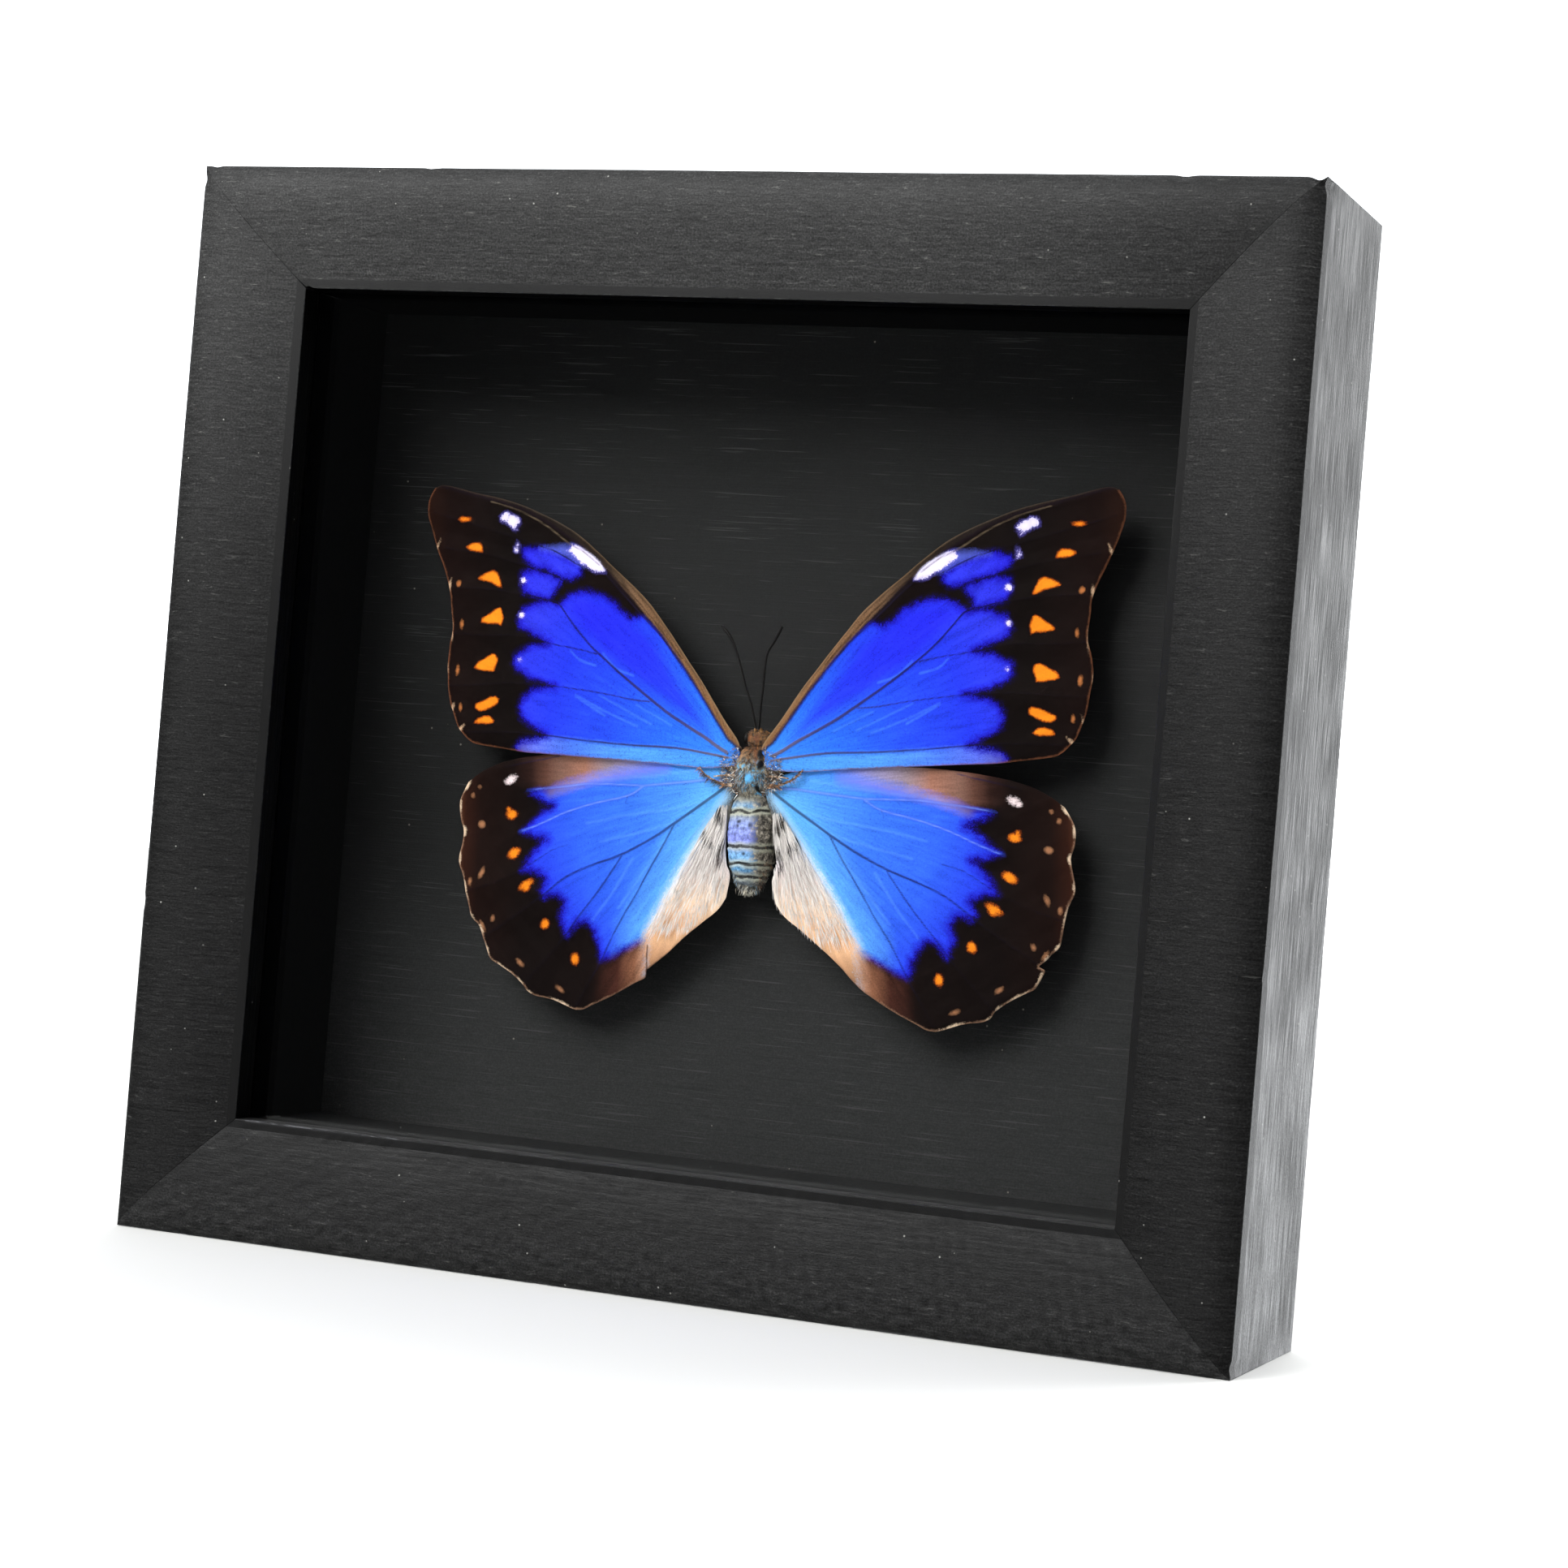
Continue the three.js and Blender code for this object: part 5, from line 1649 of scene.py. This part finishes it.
        self.add_hair(
            "head_hair", roots, ways, rng.uniform(0.25, 0.6, count), rng.uniform(0.05, 0.46, count), 82)

    def build_abdomen(self):
        """The abdomen: seven overlapping rings, a pale tuft at its tip."""
        rng = np.random.default_rng(91)
        edges = np.array([-4.8, -7.6, -11.2, -14.3, -17.6, -20.0, -21.8, -22.9])
        ring_z = np.linspace(-4.6, -22.7, 130)
        half = np.interp(-ring_z, [4.6, 5.3, 7.2, 11, 14.5, 18, 20.8, 22.0, 22.7], [
            3.0, 3.5, 4.3, 4.75, 4.6, 4.1, 2.9, 1.7, 0.6,
        ])
        step = np.min(np.abs(ring_z[:, None] - edges[None, 1:-1]), axis=1)
        fall = np.array(
            [z - edges[edges <= z + 1e-06].max() if (edges <= z + 1e-06).any() else 0 for z in ring_z])
        half = half * (1 + 0.035 * np.clip(fall / 3, 0, 1)) - 0.22 * np.exp(-((step / 0.22) ** 2))
        stations = np.c_[ring_z, half, half * 0.95, np.zeros(len(ring_z))]
        points, faces = round_body(stations[::2], ABDOMEN_X, self.middle_y, 64)
        offset = points - (ABDOMEN_X, self.middle_y, 0)
        swell = 1 + 0.02 * ripple(points, 3.0, 92) + 0.012 * ripple(points, 1.0, 93)
        points = (ABDOMEN_X, self.middle_y, 0) + offset * np.c_[swell, swell, np.ones(len(swell))]
        lines = 0.3 - np.min(np.abs(points[:, 2:3] + 0.25 * ripple(points, 4, 94)[:, None]
                                     - np.array([-7.6, -14.3, -17.6, -20.0])[None]), axis=1)
        specks = to_spots(points[:, [0, 2]], [(-1.4, -9.6, 0.5, 0.35, 20), (-1.7, -10.4, 0.3, 0.4, 0),
                                              (0.9, -10.2, 0.35, 0.5, 0), (-0.3, -15.6, 0.35, 0.35, 0)])
        self.place("abdomen_scales", points, faces, abdomen_scales(), ("abdomen",),
                   {"plan": points, "ring": lines, "speck": specks})
        count = ABDOMEN_HAIRS
        z = rng.uniform(-22.6, -5.0, count)
        wide = np.interp(-z, [5, 7.2, 11, 14.5, 18, 20.8, 22.6], [3.0, 3.9, 4.4, 4.3, 3.8, 2.7, 1.0])
        reach = np.where(rng.uniform(size=count) < 0.45, rng.uniform(-1.5, 1.5, count),
                         np.sign(rng.normal(size=count)) * rng.uniform(0.9, 1.5, count))
        angle = math.pi * 1.5 + reach
        roots = np.c_[ABDOMEN_X + wide * np.cos(angle), self.middle_y + 0.93 * wide * np.sin(angle), z]
        ways = np.c_[0.35 * np.cos(angle), 0.35 * np.sin(angle), -np.ones(count)]
        ways = ways + 0.2 * rng.normal(size=(count, 3))
        # Painted shade: hair on the right side gets darker, browner tints, as on the scales.
        tint = np.where(roots[:, 0] > 1.4, rng.uniform(0.0, 0.7, count), rng.uniform(0.5, 0.9, count))
        length = np.where(np.abs(reach) > 0.9, 0.9, 0.35) * rng.uniform(0.5, 1.1, count)
        tip = TIP_HAIRS
        tip_x = ABDOMEN_X + rng.normal(size=tip) * 0.8
        tip_y = self.middle_y - rng.uniform(0, 2.2, tip)
        tip_roots = np.c_[tip_x, tip_y, -22.2 + 0.3 * rng.normal(size=tip)]
        tip_ways = np.c_[0.5 * rng.normal(size=tip), -0.3 * np.ones(tip), -np.ones(tip)]
        self.add_hair(
            "abdomen_hair", np.vstack([roots, tip_roots]), np.vstack([ways, tip_ways]),
            np.r_[length, rng.uniform(0.5, 1.1, tip)],
            np.r_[tint, rng.choice([0.5, 0.68, 0.98, 1.0], tip)], 95)

    def build_antennae(self):
        """Two ringed antennae with slim clubs."""
        routes = {
            "antenna_left": [
                (0.3, 8.0), (-0.1, 10), (-0.6, 12.5), (-1.7, 15.6), (-2.7, 19), (-3.9, 22.6),
                (-5.2, 25.2), (-7, 27.3),
            ],
            "antenna_right": [
                (0.8, 8.0), (1.1, 10), (1.3, 12.5), (1.7, 15.6), (2.0, 19.5), (2.4, 22.3), (3.8, 24.7),
                (5.2, 27.4),
            ],
        }
        for name, route in routes.items():
            line = spaced(smooth(route, 8), ANTENNA_RINGS)
            t = np.linspace(0, 1, ANTENNA_RINGS)
            club = np.clip((t - 0.72) / 0.2, 0, 1) * np.clip((1.02 - t) / 0.08, 0.3, 1)
            radius = (0.22 + 0.12 * club) * (1 + 0.12 * np.cos(t * 2 * math.pi * 40))
            depth = middle_of(name).y + 1.2 * (1 - t) ** 3
            points, faces = tube(line, depth, radius, 10)
            self.place(name + "_rings", points, faces, self.cuticle, (name,), {}, "antenna")

    def place(self, name, points, faces, material, stands_for, marks, slot="body_hair"):
        """A piece of the specimen, from points in its own frame."""
        piece(name, in_case(points), faces, material, stands_for, marks)

    def add_hair(self, name, roots, ways, lengths, tint, seed):
        """A covering of separate hairs, as one mesh."""
        rng = np.random.default_rng(seed)
        light = 0.95 + 1.5 * ripple(roots, 0.9, seed) + 0.3 * rng.normal(size=len(roots))
        light = np.clip(light, 0.08, 2.6)
        points, faces, owner = strands(roots, ways, lengths, HAIR_RADIUS, (0, 0.25, -0.25), 4, seed)
        self.place(name, points, faces, self.hair, (), {"tint": tint[owner], "light": light[owner]})


class SPECIMEN_OT_fold_hair(bpy.types.Operator):
    """Lays the long pale hair in the folds of the hindwings"""

    bl_idname = "specimen.fold_hair"
    bl_label = "Fold hair"

    def execute(self, context):
        material, tree = surface("chitin hair, pale")
        tint = add(tree, "Attribute", out="Fac", attribute_name="tint")
        colour = add(tree, "ValToRGB", Fac=tint, stops=[
            (0.0, "#1c1612"), (0.15, "#4a4038"), (0.3, "#cec4be"), (0.6, "#f0e8e4"), (1.0, "#fffaf6"),
        ])
        finish_surface(tree, Base_Color=colour, Roughness=0.5, IOR=1.55, Specular_IOR_Level=0.4)
        for side, word in ((-1, "left"), (1, "right")):
            self.build_side(side, word, material)
        return {"FINISHED"}

    def build_side(self, side, word, material):
        """Hair on one hindwing. It leaves the body's side of the fold and runs down and outward."""
        rng = np.random.default_rng(61 + side)
        count = FOLD_HAIRS
        down = rng.uniform(0, 1, count)
        z = -6.5 - 24 * down
        left_edge = np.interp(-z, [5, 16, 20, 24, 31], [4.6, 4.9, 4.2, 5.2, 12])
        right_edge = np.interp(-z, [5, 10, 18.5, 24, 31], [5.2, 8.4, 13.4, 16.6, 20])
        share = rng.uniform(0, 1, count)
        x = left_edge + (right_edge - left_edge) * share
        plan = np.c_[x, z]
        outline = outline_of(HINDWING_EDGES)[::3]
        way = np.c_[0.14 + 0.42 * share + 0.12 * ripple(plan, 5, 63 + side), -np.ones(count)]
        length = rng.uniform(2.5, 6.0, count) * np.clip(1.3 - down, 0.5, 1)
        tufts = to_spots(plan, [
            (5.8, -8.2, 0.8, 1.6, -20),
            (8.2, -12.4, 0.7, 2.2, -35),
            (5.6, -15.2, 0.7, 2.8, 5),
        ])
        tint = np.where(tufts > 0, rng.uniform(0, 0.16, count), rng.uniform(0.4, 1.0, count))
        length = np.where(tufts > 0, 0.5, 1.0) * length
        reach = to_region(
            plan + way / np.linalg.norm(way, axis=1, keepdims=True) * length[:, None], outline)
        length = np.where(reach < 0.4, np.clip(length + reach - 0.4, 0.3, None), length)
        plan, way = as_dried("hindwing", side, plan), way * (side, 1)
        depth = middle_of(f"hindwing_{word}").y - 0.35
        roots = np.c_[plan[:, 0], np.full(count, depth), plan[:, 1]]
        ways = np.c_[way[:, 0], -0.1 + 0.06 * rng.normal(size=count), way[:, 1]]
        points, faces, owner = strands(
            roots, ways, length, FOLD_HAIR_RADIUS, (0, 0.09, 0), 5, 62 + side)
        piece(
            f"fold_hair_{word}", in_case(points), faces, material, (),
            {"tint": tint[owner]})


# Lights: place and the point aimed at in metres, size in metres, and power as a share of the key's.
LIGHTS = {
    "key": ((-0.59, -1.11, 1.09), (0, 0, 0.1), 0.95, 1.0),
    "window": ((0.65, 1.25, 0.3), (0.11, 0, 0.1), 0.8, 0.15),
    "sweep": ((0.3, 2.2, 2.2), (0, 1.6, 0), 2.5, 3.0),
}
CAMERA_PLACE = (248.1, -576.16, 89.0)  # y from the foremost point of the frame
CAMERA_AHEAD = (-0.3667, 0.9303, 0.0093)
CAMERA_ABOVE = (-0.0736, -0.039, 0.9965)
CAMERA_LENS = 79.77
CAMERA_SENSOR = 36.0


class SPECIMEN_OT_stage(bpy.types.Operator):
    """Sets up the floor, the lights and the camera"""

    bl_idname = "specimen.stage"
    bl_label = "Stage"

    def execute(self, context):
        settings = context.scene.butterfly_stage
        self.build_floor(settings)
        self.build_sky(context.scene)
        for name, (place, aim, size, share) in LIGHTS.items():
            self.add_light(name, place, aim, size, settings.key_power * share)
        self.build_camera(context.scene)
        context.scene.view_settings.view_transform = "Standard"
        context.scene.cycles.use_denoising = True
        return {"FINISHED"}

    def build_floor(self, settings):
        """A matt floor that ends behind the frame and isn't seen in reflections."""
        mesh = bpy.data.meshes.new("floor")
        mesh.from_pydata([(-3, -3, 0), (3, -3, 0), (3, 2.6, 0), (-3, 2.6, 0)], [], [(0, 1, 2, 3)])
        material, tree = surface("matt white board")
        finish_surface(
            tree, Base_Color=(*settings.floor_colour, 1.0), Roughness=0.9, Specular_IOR_Level=0.1)
        mesh.materials.append(material)
        floor = bpy.data.objects.new("floor", mesh)
        bpy.context.scene.collection.objects.link(floor)
        floor.visible_glossy = False
        floor.visible_transmission = False
        floor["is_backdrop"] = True

    def build_sky(self, scene):
        """A white room behind the object that is darker in front of it."""
        world = bpy.data.worlds.new("white room")
        scene.world = world
        world.use_nodes = True
        tree = world.node_tree
        tree.nodes.clear()
        way = add(tree, "TexCoord", out="Generated")
        behind = add(tree, "VectorMath", way, (0.0, 0.99, 0.1), out="Value", operation="DOT_PRODUCT")
        strength = add(
            tree, "MapRange", Value=behind, From_Min=0.45, From_Max=0.8, To_Min=0.02, To_Max=3.2)
        up = add(tree, "SeparateXYZ", Vector=way).node.outputs["Z"]
        low = add(tree, "MapRange", Value=up, From_Min=-0.2, From_Max=0.2, To_Min=1.5, To_Max=0.6)
        strength = add(tree, "Math", strength, low, operation="MULTIPLY")
        ceiling = add(tree, "MapRange", Value=up, From_Min=0.6, From_Max=0.95, To_Max=1.1)
        strength = add(tree, "Math", strength, ceiling, operation="MAXIMUM")
        seen = add(tree, "Math", add(tree, "LightPath", out="Is Camera Ray"), 1.2, operation="MULTIPLY")
        strength = add(tree, "Math", strength, seen, operation="MAXIMUM")
        light = add(tree, "Background", Color=(0.94, 0.97, 1, 1), Strength=strength)
        tree.links.new(light, tree.nodes.new("ShaderNodeOutputWorld").inputs["Surface"])

    def add_light(self, name, place, aim, size, power):
        """A square area light, aimed at a point, that the camera doesn't see."""
        data = bpy.data.lights.new(name, "AREA")
        data.size = size
        data.energy = power
        light = bpy.data.objects.new(name, data)
        light.visible_camera = False
        light.location = place
        light.rotation_euler = (Vector(aim) - Vector(place)).to_track_quat("-Z", "Y").to_euler()
        bpy.context.scene.collection.objects.link(light)

    def build_camera(self, scene):
        """A short telephoto to the right of the frame, level and slightly rolled."""
        data = bpy.data.cameras.new("camera")
        data.sensor_width = CAMERA_SENSOR
        data.lens = CAMERA_LENS
        camera = bpy.data.objects.new("camera", data)
        ahead = Vector(CAMERA_AHEAD).normalized()
        aside = ahead.cross(Vector(CAMERA_ABOVE)).normalized()
        above = aside.cross(ahead)
        turn = Matrix((aside, above, -ahead)).transposed().to_4x4()
        place = Vector(CAMERA_PLACE) * MM + Vector((0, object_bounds()[0].y, 0))
        camera.matrix_world = Matrix.Translation(place) @ turn
        scene.collection.objects.link(camera)
        scene.camera = camera


class SPECIMEN_PT_panel(bpy.types.Panel):
    bl_label = "Framed butterfly"
    bl_space_type = "VIEW_3D"
    bl_region_type = "UI"
    bl_category = "Specimen"

    def draw(self, context):
        for group in ("butterfly_frame", "butterfly_specimen", "butterfly_stage"):
            settings = getattr(context.scene, group)
            for key in settings.bl_rna.properties.keys():
                if key not in ("rna_type", "name"):
                    self.layout.prop(settings, key)
        for operator in OPERATORS:
            self.layout.operator(operator.bl_idname)


OPERATORS = (
    SPECIMEN_OT_rails, SPECIMEN_OT_case, SPECIMEN_OT_wings, SPECIMEN_OT_body, SPECIMEN_OT_fold_hair,
    SPECIMEN_OT_stage)
GROUPS = {
    "butterfly_frame": FrameSettings,
    "butterfly_specimen": SpecimenSettings,
    "butterfly_stage": StageSettings,
}


def register():
    for cls in (*GROUPS.values(), *OPERATORS, SPECIMEN_PT_panel):
        bpy.utils.register_class(cls)
    for name, group in GROUPS.items():
        setattr(bpy.types.Scene, name, bpy.props.PointerProperty(type=group))


def unregister():
    for name in GROUPS:
        delattr(bpy.types.Scene, name)
    for cls in reversed((*GROUPS.values(), *OPERATORS, SPECIMEN_PT_panel)):
        bpy.utils.unregister_class(cls)


def main():
    register()
    for operator in OPERATORS:
        area, name = operator.bl_idname.split(".")
        getattr(getattr(bpy.ops, area), name)()


if __name__ == "__main__":
    main()
